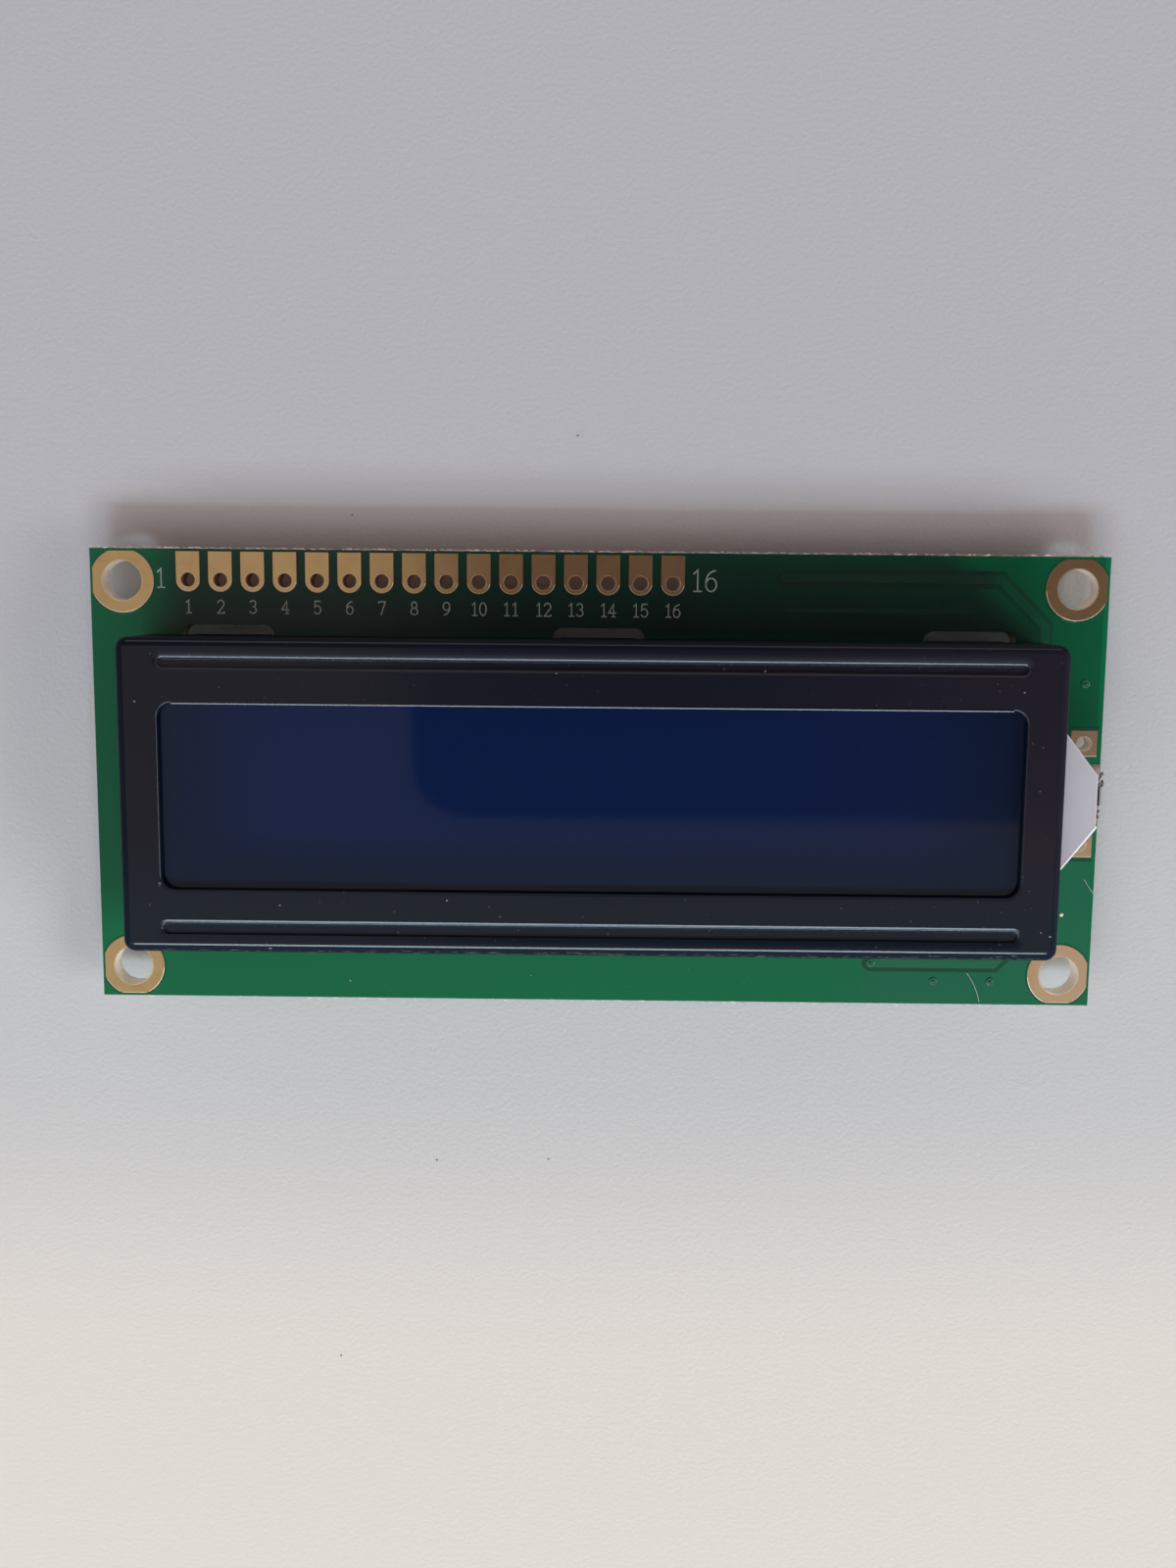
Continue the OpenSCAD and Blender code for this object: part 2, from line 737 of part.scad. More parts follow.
// Section of a lead: down from the lamp's end, round the bend and along its pad
module lead_section() {
    z = board_t + plating;
    top = lamp_z + lamp_h / 2;
    translate([lead_x, z + lead_bend_r]) square([lead_t, top - z - lead_bend_r]);
    translate([lead_x + lead_bend_r, z]) square([lead_foot - lead_bend_r, lead_t]);
    translate([lead_x + lead_bend_r, z + lead_bend_r]) rotate(180)
        quarter_ring(lead_bend_r, lead_bend_r - lead_t);
}

module lamp_leads() {
    color(tin) at_display() for (side = [-1, 1]) translate([0, side * lead_y, 0])
        rotate([90, 0, 0]) linear_extrude(lead_w, center = true) lead_section();
}

// Back of the board

// A flat dome of resin over a bare chip
module blob(x) {
    color([0.05, 0.05, 0.06]) translate([x, -blob_drop, 0]) mirror([0, 0, 1])
        rotate_extrude($fn = 128) intersection() {
            translate([0, blob_h - blob_r]) circle(blob_r, $fn = 256);
            square([blob_d, blob_h]);
        }
}

module controller_blob() {
    blob(-blob_x);
}

module driver_blob() {
    blob(blob_x);
}

// Bodies of the chip components of one height
module chip_bodies(places, h) {
    for (p = places) translate([p[0], p[1], -plating - h / 2])
        cube([chip_l - 2 * chip_end, chip_w, h], center = true);
}

// Metal ends of the chip components of one height
module chip_ends(places, h) {
    for (p = places, side = [-1, 1])
        translate([p[0] + side * (chip_l - chip_end) / 2, p[1], -plating - h / 2])
            cube([chip_end, chip_w, h], center = true);
}

module chip_resistors() {
    color([0.08, 0.08, 0.09]) chip_bodies(resistor_places, resistor_h);
}

module resistor_ends() {
    color(tin) chip_ends(resistor_places, resistor_h);
}

module chip_capacitors() {
    color([0.62, 0.47, 0.33]) chip_bodies(capacitor_places, capacitor_h);
}

module capacitor_ends() {
    color(tin) chip_ends(capacitor_places, capacitor_h);
}

module component_lands() {
    color(gold) for (p = concat(resistor_places, capacitor_places), side = [-1, 1])
        translate([p[0] + side * (chip_l / 2 - land_lap + land_l / 2), p[1], -plating / 2])
            cube([land_l, land_w, plating], center = true);
}

// Pairs of pads that a drop of solder can bridge
module bridge_pads() {
    color(gold) for (i = [0 : bridge_count - 1], side = [-1, 1])
        translate([bridge_x + side * (bridge_pad + bridge_gap) / 2,
                   (i - (bridge_count - 1) / 2) * bridge_pitch, -plating / 2])
            cube([bridge_pad, bridge_pad, plating], center = true);
}

printed_board();
corner_rings();
header_pads();
supply_pads();
lamp_pads();
upper_contacts();
lower_contacts();
bezel_frame();
front_polarizer();
front_glass();
rear_glass();
rear_polarizer();
fill_port_plug();
upper_connector_strip();
lower_connector_strip();
backlight_tray();
reflector_sheet();
light_guide();
diffuser_sheet();
nose_film();
backlight_lamp();
lamp_leads();
controller_blob();
driver_blob();
chip_resistors();
resistor_ends();
chip_capacitors();
capacitor_ends();
component_lands();
bridge_pads();
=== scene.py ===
"""Looks of a 16 x 2 character LCD module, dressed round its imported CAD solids."""
import json
import math
import random

import bmesh
import bpy
from mathutils import Matrix, Vector


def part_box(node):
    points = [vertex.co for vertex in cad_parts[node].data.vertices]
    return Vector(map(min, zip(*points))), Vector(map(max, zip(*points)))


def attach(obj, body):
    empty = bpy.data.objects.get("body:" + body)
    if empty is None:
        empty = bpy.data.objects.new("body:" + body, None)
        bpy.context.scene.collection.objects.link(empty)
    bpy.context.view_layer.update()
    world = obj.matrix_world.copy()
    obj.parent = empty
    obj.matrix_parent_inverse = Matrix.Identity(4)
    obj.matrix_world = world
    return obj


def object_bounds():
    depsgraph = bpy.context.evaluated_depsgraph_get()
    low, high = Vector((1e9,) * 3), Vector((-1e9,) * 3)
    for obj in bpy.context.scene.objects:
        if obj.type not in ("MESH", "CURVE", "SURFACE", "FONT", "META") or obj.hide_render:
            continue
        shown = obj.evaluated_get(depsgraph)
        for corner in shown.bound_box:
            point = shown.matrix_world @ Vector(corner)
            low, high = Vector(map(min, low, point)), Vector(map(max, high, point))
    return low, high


MM = 0.001

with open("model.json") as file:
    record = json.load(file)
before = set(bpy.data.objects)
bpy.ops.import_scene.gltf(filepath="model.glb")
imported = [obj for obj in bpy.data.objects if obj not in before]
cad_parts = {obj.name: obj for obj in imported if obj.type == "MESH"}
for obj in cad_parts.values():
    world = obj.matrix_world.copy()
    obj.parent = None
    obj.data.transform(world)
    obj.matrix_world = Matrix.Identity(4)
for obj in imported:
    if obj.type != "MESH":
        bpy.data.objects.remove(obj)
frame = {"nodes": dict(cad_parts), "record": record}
cad_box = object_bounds()

# The frame's origin is on the board's back, at the middle of its mounting holes
BOARD_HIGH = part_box("printed_board")[1]
BEZEL_LOW, BEZEL_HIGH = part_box("bezel_frame")
FILM_LOW, FILM_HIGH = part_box("front_polarizer")
TOP = BOARD_HIGH.z

# Camera, in millimetres and radians: 118 mm over the board, a little north of its middle
CAMERA_PLACE = (0.008, 14.824, 117.994)
CAMERA_TURN = (0.1290, -0.0068, -0.0098)
CAMERA_LENS = 33.75
SENSOR = 36

# The photographer's phone shades the sky over the display; its mirror image shows in the window
CARD_LEFT, CARD_RIGHT = -28, 123
CARD_SOUTH, CARD_NORTH = -19, 110
CARD_CORNER = 8
CARD_HEIGHT = 118
CARD_COLOUR = (0.17, 0.085, 0.095)

# Windows, each with its name, the side it is on as an angle east of south, its elevation, width,
# height, power and colour
WINDOW_DISTANCE = 2000
WINDOWS = [("south_window", 0, 42, 1450, 360, 25, (0.72, 0.85, 1.0)),
           ("east_window", 68, 31, 1300, 700, 15, (1.0, 0.94, 0.93)),
           ("west_window", -50, 40, 1300, 900, 6.5, (0.8, 0.9, 1.0))]

# Sizes and places of the board's details, in millimetres. Copper fills the board right of
# FILL_FROM and leaves it bare round the header, north of BARE_FROM. On the back, the data tracks
# pass between two claw slots, from GATE_LEFT to GATE_RIGHT. The last three are heights of print
FILL_FROM = 21
# North of BARE_FROM the mask round the header also carries the bezel's painted shadow
BARE_FROM = 12
HEADER_PAD = 1.85
RING_D = 5
RING_INSET = 2.5
MOUNT_HOLE_R = 1.55
PIN_HOLE_R = 0.55
BLOB_RIM = 6.2
BLOB_PRINT = 7.1
GATE_LEFT, GATE_RIGHT = -24.8, -4.5
GATE_SOUTH, GATE_NORTH = 9.4, 12.2
DATA_ROW = 13.9
VIA_ROW = -10.6
EDGE_VIA = (38.5, 8.1)
TRACK_VIA = (22.3, -14.65)
LOWER_VIAS = [(27.4, -16.1), (32.0, -16.1)]
TEST_POINT = (37.52, -10.51)
FIRST_NUMBER, LAST_NUMBER, PIN_NUMBER = 1.45, 1.65, 1.0

# Sizes of the bezel and of the backlight's nose, in millimetres
FOLD = 0.65
PLATE_SOUTH = BEZEL_LOW.y / MM + FOLD
PLATE_NORTH = BEZEL_HIGH.y / MM - FOLD
WINDOW_END, WINDOW_SIDE, WINDOW_ROUND = 3.1, 7.1, 1.1
BEAD_END, BEAD_W, BEAD_Y = 2.9, 1.3, 10.15
NOSE_TIP = 4

# Where dust and hairs lie in the photograph, in millimetres
BEZEL_DUST = [(29.7, 8.4), (31.7, 7.8), (-11.3, -8.4), (33.8, -10.4), (34.5, -10.7), (-3.1, 8.9),
              (12.4, 9.2), (25.7, 7.1), (-24.0, -8.9), (33.2, 0.4), (-34.6, 6.5), (18.6, -8.7)]
BOARD_DUST = [(32.7, 14.6), (-19.9, -16.6), (-17.0, -16.9), (7.6, -15.4), (-5.2, -16.0),
              (2.6, -16.9), (12.1, -16.4)]
BOARD_HAIRS = [((30.1, -15.4), (30.9, -16.4), (31.2, -17.8)),
               ((39.2, -7.6), (39.55, -8.2), (39.95, -8.7))]
SPECK_RADIUS = 0.09
FLOOR_SPECKS = [(-19.9, 20.9), (-1.8, 27.3), (-13.3, -33.2), (-3.8, -33.0), (-21.7, -51.0)]

SKY_OVERHEAD = (0.385, 0.265, 0.238)
SKY_HORIZON = (0.62, 0.62, 0.64)

FLOOR_HALF = 700
FLOOR_COOL = (0.585, 0.62, 0.605)
# Painted light and shade on the paper: warm and bright in the south, dimmer far to the north
FLOOR_PAINTED_WARM_LIGHT = (0.78, 0.765, 0.68)
FLOOR_PAINTED_FAR_SHADE = (0.515, 0.53, 0.545)
# Painted shadow on the paper under the header row
FLOOR_PAINTED_SHADOW = (0.52, 0.36, 0.30)

FILM_BLUE = (0.0004, 0.0100, 0.053)
# Painted shade: less blue towards the film's lower edge, under the bezel
FILM_PAINTED_SHADE_LOW = (0.0010, 0.0095, 0.027)
FILM_SIDE = (0.0020, 0.0085, 0.020)
FILM_RIGHT = (0.0035, 0.0110, 0.047)
PAINT = (0.0045, 0.0068, 0.0130)
# Painted reflection: the paint lighter towards the east and the south
PAINTED_REFLECTION_EAST = (0.0115, 0.0110, 0.0190)
PAINTED_REFLECTION_SOUTH = (0.0045, 0.0115, 0.0195)
# Painted light on north-facing walls of the bezel's northern half
LIP_PAINTED_LIGHT = (0.045, 0.045, 0.055)
MASK = (0.0012, 0.156, 0.055)
MASK_LEFT = (0.0012, 0.145, 0.052)
# Painted shade on the front of the board's northern part
MASK_PAINTED_SHADE_NORTH = (0.0010, 0.104, 0.040)
MASK_RIM = (0.0020, 0.150, 0.058)
MASK_OVER_COPPER = (0.0085, 0.145, 0.066)
# Mask over the bare board round the header, darkened by the bezel's painted shadow, darkest by the
# bezel
MASK_BARE_BOARD_AND_SHADE = (0.0050, 0.045, 0.025)
MASK_PAINTED_BEZEL_SHADOW = (0.0050, 0.018, 0.018)
MASK_GAP = (0.0020, 0.070, 0.032)
EDGE_DARK = (0.20, 0.22, 0.10)
EDGE_PALE = (0.42, 0.42, 0.27)
GOLD = (0.86, 0.79, 0.40)
GOLD_STAINED = (0.78, 0.67, 0.33)
# Painted sunlight on the lands in the east
GOLD_PAINTED_SUNLIGHT = (1.0, 0.93, 0.62)
# Barrels: pale as a painted reflection of the lit paper, dimmed as painted shade in the header
BARREL = (0.95, 0.87, 0.74)
BARREL_PAINTED_SHADE = (0.42, 0.26, 0.20)
PAINT_DUST = (0.10, 0.10, 0.11)

MASK_ROUGHNESS = 0.24
PAINT_ROUGHNESS = 0.22
GOLD_ROUGHNESS = 0.22

# Where the materials change, from all of the first to all of the second, in millimetres along X
# for EAST, WEST and ENDS, along Y for NORTH and SOUTH
# Where the paper's painted warm light (south) and painted far shade (north) change
FLOOR_SOUTH = (-22, -52)
FLOOR_NORTH = (-10, 30)
MASK_EAST = (-36, 0)
# Where the painted shade on the board's northern part begins
MASK_NORTH = (-14, -7)
MASK_RIM_EAST = (BOARD_HIGH.x / MM - 0.45, BOARD_HIGH.x / MM - 0.3)
COPPER_EAST = (FILL_FROM - 3, FILL_FROM + 3)
COPPER_SOUTH = (3.6, 3)
# The bare board round the header and the bezel's painted shadow on it, which ends on a diagonal
HEADER_SOUTH = (BARE_FROM - 2, BARE_FROM)
HEADER_NORTH = (BARE_FROM, BOARD_HIGH.y / MM)
HEADER_WEST = (-36, -32)
HEADER_DIAGONAL = (48, 44)
# Where the bezel's painted shadow darkens the traces by the header
TRACE_NORTH = (8, 10)
TRACE_WEST = (-34, -31)
TRACE_EAST = (32.5, 30)
# Where painted sunlight brightens the lands
SUNNY_EAST = (34, 36)
SUNNY_SOUTH = (12, 9)
# Where painted shade dims the header's barrels
HOLES_NORTH = (12.5, 13)
HOLES_EAST = (6, 5)
HOLES_WEST = (-35, -34)
# Where painted reflection lightens the paint, towards the east and the south
PAINT_EAST = (5, BEZEL_HIGH.x / MM)
PAINT_SOUTH = (-4, -10)
# Where painted light lifts the bezel's north-facing walls
LIP_SOUTH = (0, 1)
LIP_NORTH = (PLATE_NORTH, PLATE_NORTH - 0.2)
FILM_EAST = (0, FILM_HIGH.x / MM)
# Where the film's painted shade towards its lower edge comes in
FILM_SOUTH = (-2.2, -7.4)
FILM_ENDS = (22, 36)

# Heights between the board's back and its front, in millimetres
FRONT_HALF = (0.7, 0.9)


# Node materials

def surface(name, colour, roughness, metallic=0.0, **sockets):
    """A principled material; further sockets are given by name with underscores for spaces."""
    material = bpy.data.materials.new(name)
    material.use_nodes = True
    shader = material.node_tree.nodes["Principled BSDF"]
    shader.inputs["Base Color"].default_value = (*colour, 1)
    shader.inputs["Roughness"].default_value = roughness
    shader.inputs["Metallic"].default_value = metallic
    for socket, value in sockets.items():
        shader.inputs[socket.replace("_", " ")].default_value = value
    return material


def add(tree, kind, inputs=None, **settings):
    """A new node. An input is either a socket of another node, to link, or a value."""
    node = tree.nodes.new(kind)
    for key, value in settings.items():
        setattr(node, key, value)
    for key, value in (inputs or {}).items():
        if isinstance(value, bpy.types.NodeSocket):
            tree.links.new(value, node.inputs[key])
        else:
            node.inputs[key].default_value = value
    return node


def shader_input(material, socket, source):
    shader = material.node_tree.nodes["Principled BSDF"]
    material.node_tree.links.new(source, shader.inputs[socket])


def place(material):
    """Object coordinates, which are the frame's metres."""
    return add(material.node_tree, "ShaderNodeTexCoord").outputs["Object"]


def noise(material, size, detail=2.0, stretch=(1, 1, 1)):
    """Noise whose features are about that many millimetres across, from 0 to 1."""
    tree = material.node_tree
    scaled = add(tree, "ShaderNodeMapping", {"Vector": place(material), "Scale": stretch})
    return add(tree, "ShaderNodeTexNoise", {
        "Vector": scaled.outputs["Vector"], "Scale": 1 / (size * MM),
        "Detail": detail}).outputs["Fac"]


def remap(value, low, high, to_low=0.0, to_high=1.0, smooth=False):
    kind = "SMOOTHSTEP" if smooth else "LINEAR"
    return add(value.id_data, "ShaderNodeMapRange", {
        "Value": value, "From Min": low, "From Max": high, "To Min": to_low, "To Max": to_high},
        interpolation_type=kind).outputs["Result"]


def blend(factor, first, second):
    """First colour where the factor is 0, second where it is 1."""
    first, second = (colour if isinstance(colour, bpy.types.NodeSocket) else (*colour, 1)
                     for colour in (first, second))
    inputs = {0: factor, 6: first, 7: second}
    return add(factor.id_data, "ShaderNodeMix", inputs, data_type="RGBA").outputs[2]


def maths(operation, first, second=None, clamp=False):
    """What a maths node makes of one socket, or of a socket and another or a number."""
    inputs = {0: first} if second is None else {0: first, 1: second}
    node = add(first.id_data, "ShaderNodeMath", inputs, operation=operation, use_clamp=clamp)
    return node.outputs[0]


def multiply(first, *others):
    product = first
    for other in others:
        product = maths("MULTIPLY", product, other)
    return product


def ramp(value, span, smooth=False):
    """From 0 at the span's first place to 1 at its second, which are in millimetres."""
    return remap(value, span[0] * MM, span[1] * MM, smooth=smooth)


def distance_from(value, middle):
    return maths("ABSOLUTE", maths("SUBTRACT", value, middle))


def grain(material, size, depth, detail=2.0):
    """Fine relief, with features that many millimetres across and deep."""
    bump = add(material.node_tree, "ShaderNodeBump", {
        "Height": noise(material, size, detail), "Strength": 1.0, "Distance": depth * MM})
    shader_input(material, "Normal", bump.outputs["Normal"])


def coordinates(material):
    """The frame's X, Y and Z, in metres."""
    parts = add(material.node_tree, "ShaderNodeSeparateXYZ", {"Vector": place(material)})
    return [parts.outputs[axis] for axis in "XYZ"]


def normal_along(material, axis):
    """How far the face looks along an axis, from -1 to 1."""
    normal = add(material.node_tree, "ShaderNodeNewGeometry").outputs["Normal"]
    parts = add(normal.id_data, "ShaderNodeSeparateXYZ", {"Vector": normal})
    return parts.outputs[axis]


def facing_up(material):
    """1 on faces that look up or down, 0 on the sides."""
    steepness = maths("ABSOLUTE", normal_along(material, "Z"))
    return maths("GREATER_THAN", steepness, 0.7)


def mask_green(material):
    """The mask's green by place, over copper and bare board, with painted shade where less light
    falls on it.
    """
    across, along, up = coordinates(material)
    west = blend(ramp(across, MASK_EAST, smooth=True), MASK_LEFT, MASK)
    filled = ramp(across, COPPER_EAST, smooth=True)
    green = blend(filled, west, MASK_OVER_COPPER)
    copper = multiply(filled, ramp(along, COPPER_SOUTH))
    # Painted shade over the front of the board's northern part, away from the copper
    upper = ramp(along, MASK_NORTH, smooth=True)
    thin = maths("SUBTRACT", upper, copper, clamp=True)
    front = ramp(up, FRONT_HALF)
    green = blend(multiply(thin, front), green, MASK_PAINTED_SHADE_NORTH)
    # Round the header: bare board, and the bezel's painted shadow, darkest by the bezel and ending
    # on a diagonal
    diagonal = maths("ADD", across, along)
    cloud = remap(noise(material, 6, 3), 0.2, 0.8, 0.85, 1)
    bare = multiply(ramp(along, HEADER_SOUTH, smooth=True),
                    ramp(across, HEADER_WEST, smooth=True),
                    ramp(diagonal, HEADER_DIAGONAL, smooth=True), front, cloud)
    bare_and_shade_colour = blend(ramp(along, HEADER_NORTH), MASK_PAINTED_BEZEL_SHADOW, MASK_BARE_BOARD_AND_SHADE)
    green = blend(bare, green, bare_and_shade_colour)
    return blend(ramp(across, MASK_RIM_EAST, smooth=True), green, MASK_RIM)


def mask_material():
    """Green solder mask, with the pale glass fibre of the cut edges."""
    material = surface("solder_mask", MASK, MASK_ROUGHNESS, Specular_Tint=(0.7, 0.9, 1, 1))
    green = mask_green(material)
    weave = noise(material, 0.25, 3, stretch=(1, 1, 6))
    fibre = blend(remap(weave, 0.35, 0.65), EDGE_DARK, EDGE_PALE)
    flat = facing_up(material)
    shader_input(material, "Base Color", blend(flat, fibre, green))
    shader_input(material, "Roughness", remap(flat, 0, 1, 0.8, MASK_ROUGHNESS))
    grain(material, 0.8, 0.004)
    return material


def gold_material():
    """Dull gold, painted brighter on the lands in the sun, with barrels painted pale, and dim in
    the header's painted shade.
    """
    material = surface("dull_gold", GOLD, GOLD_ROUGHNESS, 1.0)
    across, along, _ = coordinates(material)
    stain = remap(noise(material, 1.5, 4), 0.4, 0.8)
    # Painted sunlight on the lands in the east
    painted_sunlight = multiply(ramp(across, SUNNY_EAST), ramp(along, SUNNY_SOUTH))
    gold = blend(painted_sunlight, blend(stain, GOLD, GOLD_STAINED), GOLD_PAINTED_SUNLIGHT)
    # Barrels: painted pale and only partly metallic as reflection of the lit paper, dimmed as
    # painted shade in the header
    header = multiply(ramp(along, HOLES_NORTH), ramp(across, HOLES_EAST),
                      ramp(across, HOLES_WEST))
    barrel = blend(header, BARREL, BARREL_PAINTED_SHADE)
    flat = facing_up(material)
    shader_input(material, "Base Color", blend(flat, barrel, gold))
    shader_input(material, "Metallic", remap(flat, 0, 1, 0.25, 1))
    shader_input(material, "Roughness", remap(flat, 0, 1, 0.45, GOLD_ROUGHNESS))
    grain(material, 0.15, 0.003)
    return material


def on_fold(value, low, high):
    """1 over the folds at either end of the bezel, 0 over the flat plate between them."""
    flat = (high - low) / 2 - FOLD * MM
    distance = distance_from(value, (low + high) / 2)
    return remap(distance, flat, flat + 0.02 * MM)


def paint_material():
    """Satin black paint on the bezel, with dust, painted reflection and painted light, and duller
    on the folds as painted shade.
    """
    material = surface("black_paint", PAINT, PAINT_ROUGHNESS, Specular_Tint=(0.8, 0.92, 1, 1))
    across, along, _ = coordinates(material)
    # Painted reflection: the paint lighter towards the east and the south
    upper = blend(ramp(across, PAINT_EAST, smooth=True), PAINT, PAINTED_REFLECTION_EAST)
    paint = blend(ramp(along, PAINT_SOUTH, smooth=True), upper, PAINTED_REFLECTION_SOUTH)
    # Painted light lifts north-facing walls in the bezel's northern half, such as the upper bead's
    # south lip
    lifted_by_painted_light = multiply(remap(normal_along(material, "Y"), 0.1, 0.9),
                     ramp(along, LIP_SOUTH), ramp(along, LIP_NORTH))
    paint = blend(lifted_by_painted_light, paint, LIP_PAINTED_LIGHT)
    dust = remap(noise(material, 0.35, 2), 0.74, 0.80)
    shader_input(material, "Base Color", blend(dust, paint, PAINT_DUST))
    # Painted shade: the folds' reflections turned down, and the paint rougher there
    fold = maths("MAXIMUM", on_fold(across, BEZEL_LOW.x, BEZEL_HIGH.x),
                 on_fold(along, BEZEL_LOW.y, BEZEL_HIGH.y))
    shader_input(material, "Specular IOR Level", remap(fold, 0, 1, 0.5, 0.07))
    shader_input(material, "Roughness", remap(fold, 0, 1, PAINT_ROUGHNESS, 0.5))
    grain(material, 0.1, 0.003, 3)
    return material


def trace_material(name, shade_by_bezel, elsewhere):
    """Solder mask on or beside a trace, dimmer by the header with the bezel's painted shadow,
    where the bare board starts.
    """
    material = surface(name, shade_by_bezel, MASK_ROUGHNESS)
    across, along, _ = coordinates(material)
    # Painted shadow of the bezel over the traces by the header
    dim = multiply(ramp(along, TRACE_NORTH),
                   ramp(across, TRACE_EAST, smooth=True),
                   ramp(across, TRACE_WEST, smooth=True))
    shader_input(material, "Base Color", blend(dim, elsewhere, shade_by_bezel))
    return material


def dark_film_material():
    """Front polarizer: near black blue, with less blue towards its ends, and towards its lower
    edge as painted shade.
    """
    material = surface("dark_film", FILM_BLUE, 0.06, Specular_Tint=(0.75, 0.95, 1, 1))
    across, along, _ = coordinates(material)
    from_middle = distance_from(across, (FILM_LOW.x + FILM_HIGH.x) / 2)
    blue = blend(ramp(across, FILM_EAST, smooth=True), FILM_BLUE, FILM_RIGHT)
    blue = blend(ramp(from_middle, FILM_ENDS, smooth=True), blue, FILM_SIDE)
    # Painted shade towards the film's lower edge, under the bezel
    low = ramp(along, FILM_SOUTH, smooth=True)
    shader_input(material, "Base Color", blend(low, blue, FILM_PAINTED_SHADE_LOW))
    return material


def metal_material(name, colour, roughness):
    material = surface(name, colour, roughness, 1.0)
    grain(material, 0.2, 0.006)
    return material


def grained_material(name, colour, roughness, size=0.5, depth=0.004):
    """A plain plastic, ceramic or rubber with a little unevenness."""
    material = surface(name, colour, roughness)
    darker = tuple(0.86 * part for part in colour)
    shader_input(material, "Base Color", blend(noise(material, 3 * size, 3), darker, colour))
    grain(material, size, depth)
    return material


# Plain colours and roughnesses, some with the size and the depth of their grain
PLAIN_LOOKS = {
    "rear_film": ((0.03, 0.04, 0.07), 0.2),
    "plug_resin": ((0.55, 0.42, 0.16), 0.3),
    "strip_rubber": ((0.07, 0.08, 0.10), 0.6),
    "white_moulding": ((0.72, 0.72, 0.74), 0.45),
    "white_film": ((0.565, 0.57, 0.60), 0.5, 2.0, 0.002),
    "milky_film": ((0.80, 0.80, 0.76), 0.5),
    "lamp_body": ((0.10, 0.10, 0.11), 0.4),
    "black_resin": ((0.012, 0.012, 0.014), 0.28, 1.2, 0.02),
    "resistor_coat": ((0.012, 0.012, 0.013), 0.35),
    "capacitor_ceramic": ((0.30, 0.17, 0.08), 0.45),
}
MATERIALS = {name: grained_material(name, *look) for name, look in PLAIN_LOOKS.items()}
MATERIALS |= {
    "green_mask": mask_material(),
    "gold_plating": gold_material(),
    "black_paint": paint_material(),
    "dark_film": dark_film_material(),
    "cell_glass": surface("cell_glass", (0.80, 0.92, 0.90), 0.02,
                          Transmission_Weight=1.0, IOR=1.52),
    "clear_acrylic": surface("clear_acrylic", (0.93, 0.95, 0.96), 0.05,
                             Transmission_Weight=1.0, IOR=1.49),
    "tinned_metal": metal_material("tinned_metal", (0.70, 0.70, 0.72), 0.32),
}

for part in frame["record"]["subparts"]:
    frame["nodes"][part["node"]].material_slots[0].material = MATERIALS[part["material_slot"]]


# Objects and pieces, whose points are in millimetres

RIDES_ON = "root"


def new_object(name, points, faces, material):
    mesh = bpy.data.meshes.new(name)
    mesh.from_pydata([Vector(p) * MM for p in points], [], faces)
    mesh.materials.append(material)
    thing = bpy.data.objects.new(name, mesh)
    bpy.context.scene.collection.objects.link(thing)
    return thing


def piece(name, shell, material, smooth=False):
    """A piece of the object on its one body, with its faces turned outwards."""
    thing = new_object(name, shell.points, shell.faces, material)
    shape = bmesh.new()
    shape.from_mesh(thing.data)
    bmesh.ops.recalc_face_normals(shape, faces=shape.faces)
    shape.to_mesh(thing.data)
    shape.free()
    for polygon in thing.data.polygons:
        polygon.use_smooth = smooth
    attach(thing, RIDES_ON)


class Shell:
    """Points and faces of a piece that is made of several parts."""

    def __init__(self):
        self.points, self.faces = [], []

    def ring(self, points):
        """Adds points and gives their numbers."""
        first = len(self.points)
        self.points.extend(points)
        return list(range(first, len(self.points)))

    def join(self, one, two):
        """Faces between two rings of as many points."""
        for i, here in enumerate(one):
            after = (i + 1) % len(one)
            self.faces.append((here, one[after], two[after], two[i]))

    def loft(self, sections):
        """A closed solid through sections, each a list of points."""
        rings = [self.ring(section) for section in sections]
        for one, two in zip(rings, rings[1:]):
            self.join(one, two)
        self.faces += [tuple(rings[0][::-1]), tuple(rings[-1])]


# How deep a strip is rooted in its face, how far its sides lean in, and the turns, in radians, at
# which its round ends have sections
STRIP_ROOT = 0.01
STRIP_SLOPE = 0.03
END_TURNS = [math.radians(turn) for turn in (30, 55, 75)]

# Faces of the board, each as its height and the way it looks
FRONT = (TOP / MM, 1)
PLATED = (TOP / MM + 0.05, 1)
BACK = (0, -1)


def in_mm(box):
    return [corner / MM for corner in box]


def arc(cx, cy, rx, ry, start, end, steps=12):
    """Points of an elliptic arc, with its ends in degrees."""
    turns = [math.radians(start + (end - start) * i / steps) for i in range(steps + 1)]
    return [(cx + rx * math.cos(t), cy + ry * math.sin(t)) for t in turns]


def circle(x, y, radius, steps):
    return arc(x, y, radius, radius, 0, 360 - 360 / steps, steps - 1)


def shorten_corners(path, cut):
    """Each corner of a path becomes a 45 degree run, as on a laid out board."""
    points = [Vector(p) for p in path]
    out = [points[0]]
    for before, here, after in zip(points, points[1:], points[2:]):
        for other in (before, after):
            side = other - here
            out.append(here + side * min(cut / side.length, 0.5))
    return [tuple(p) for p in out + [points[-1]]]


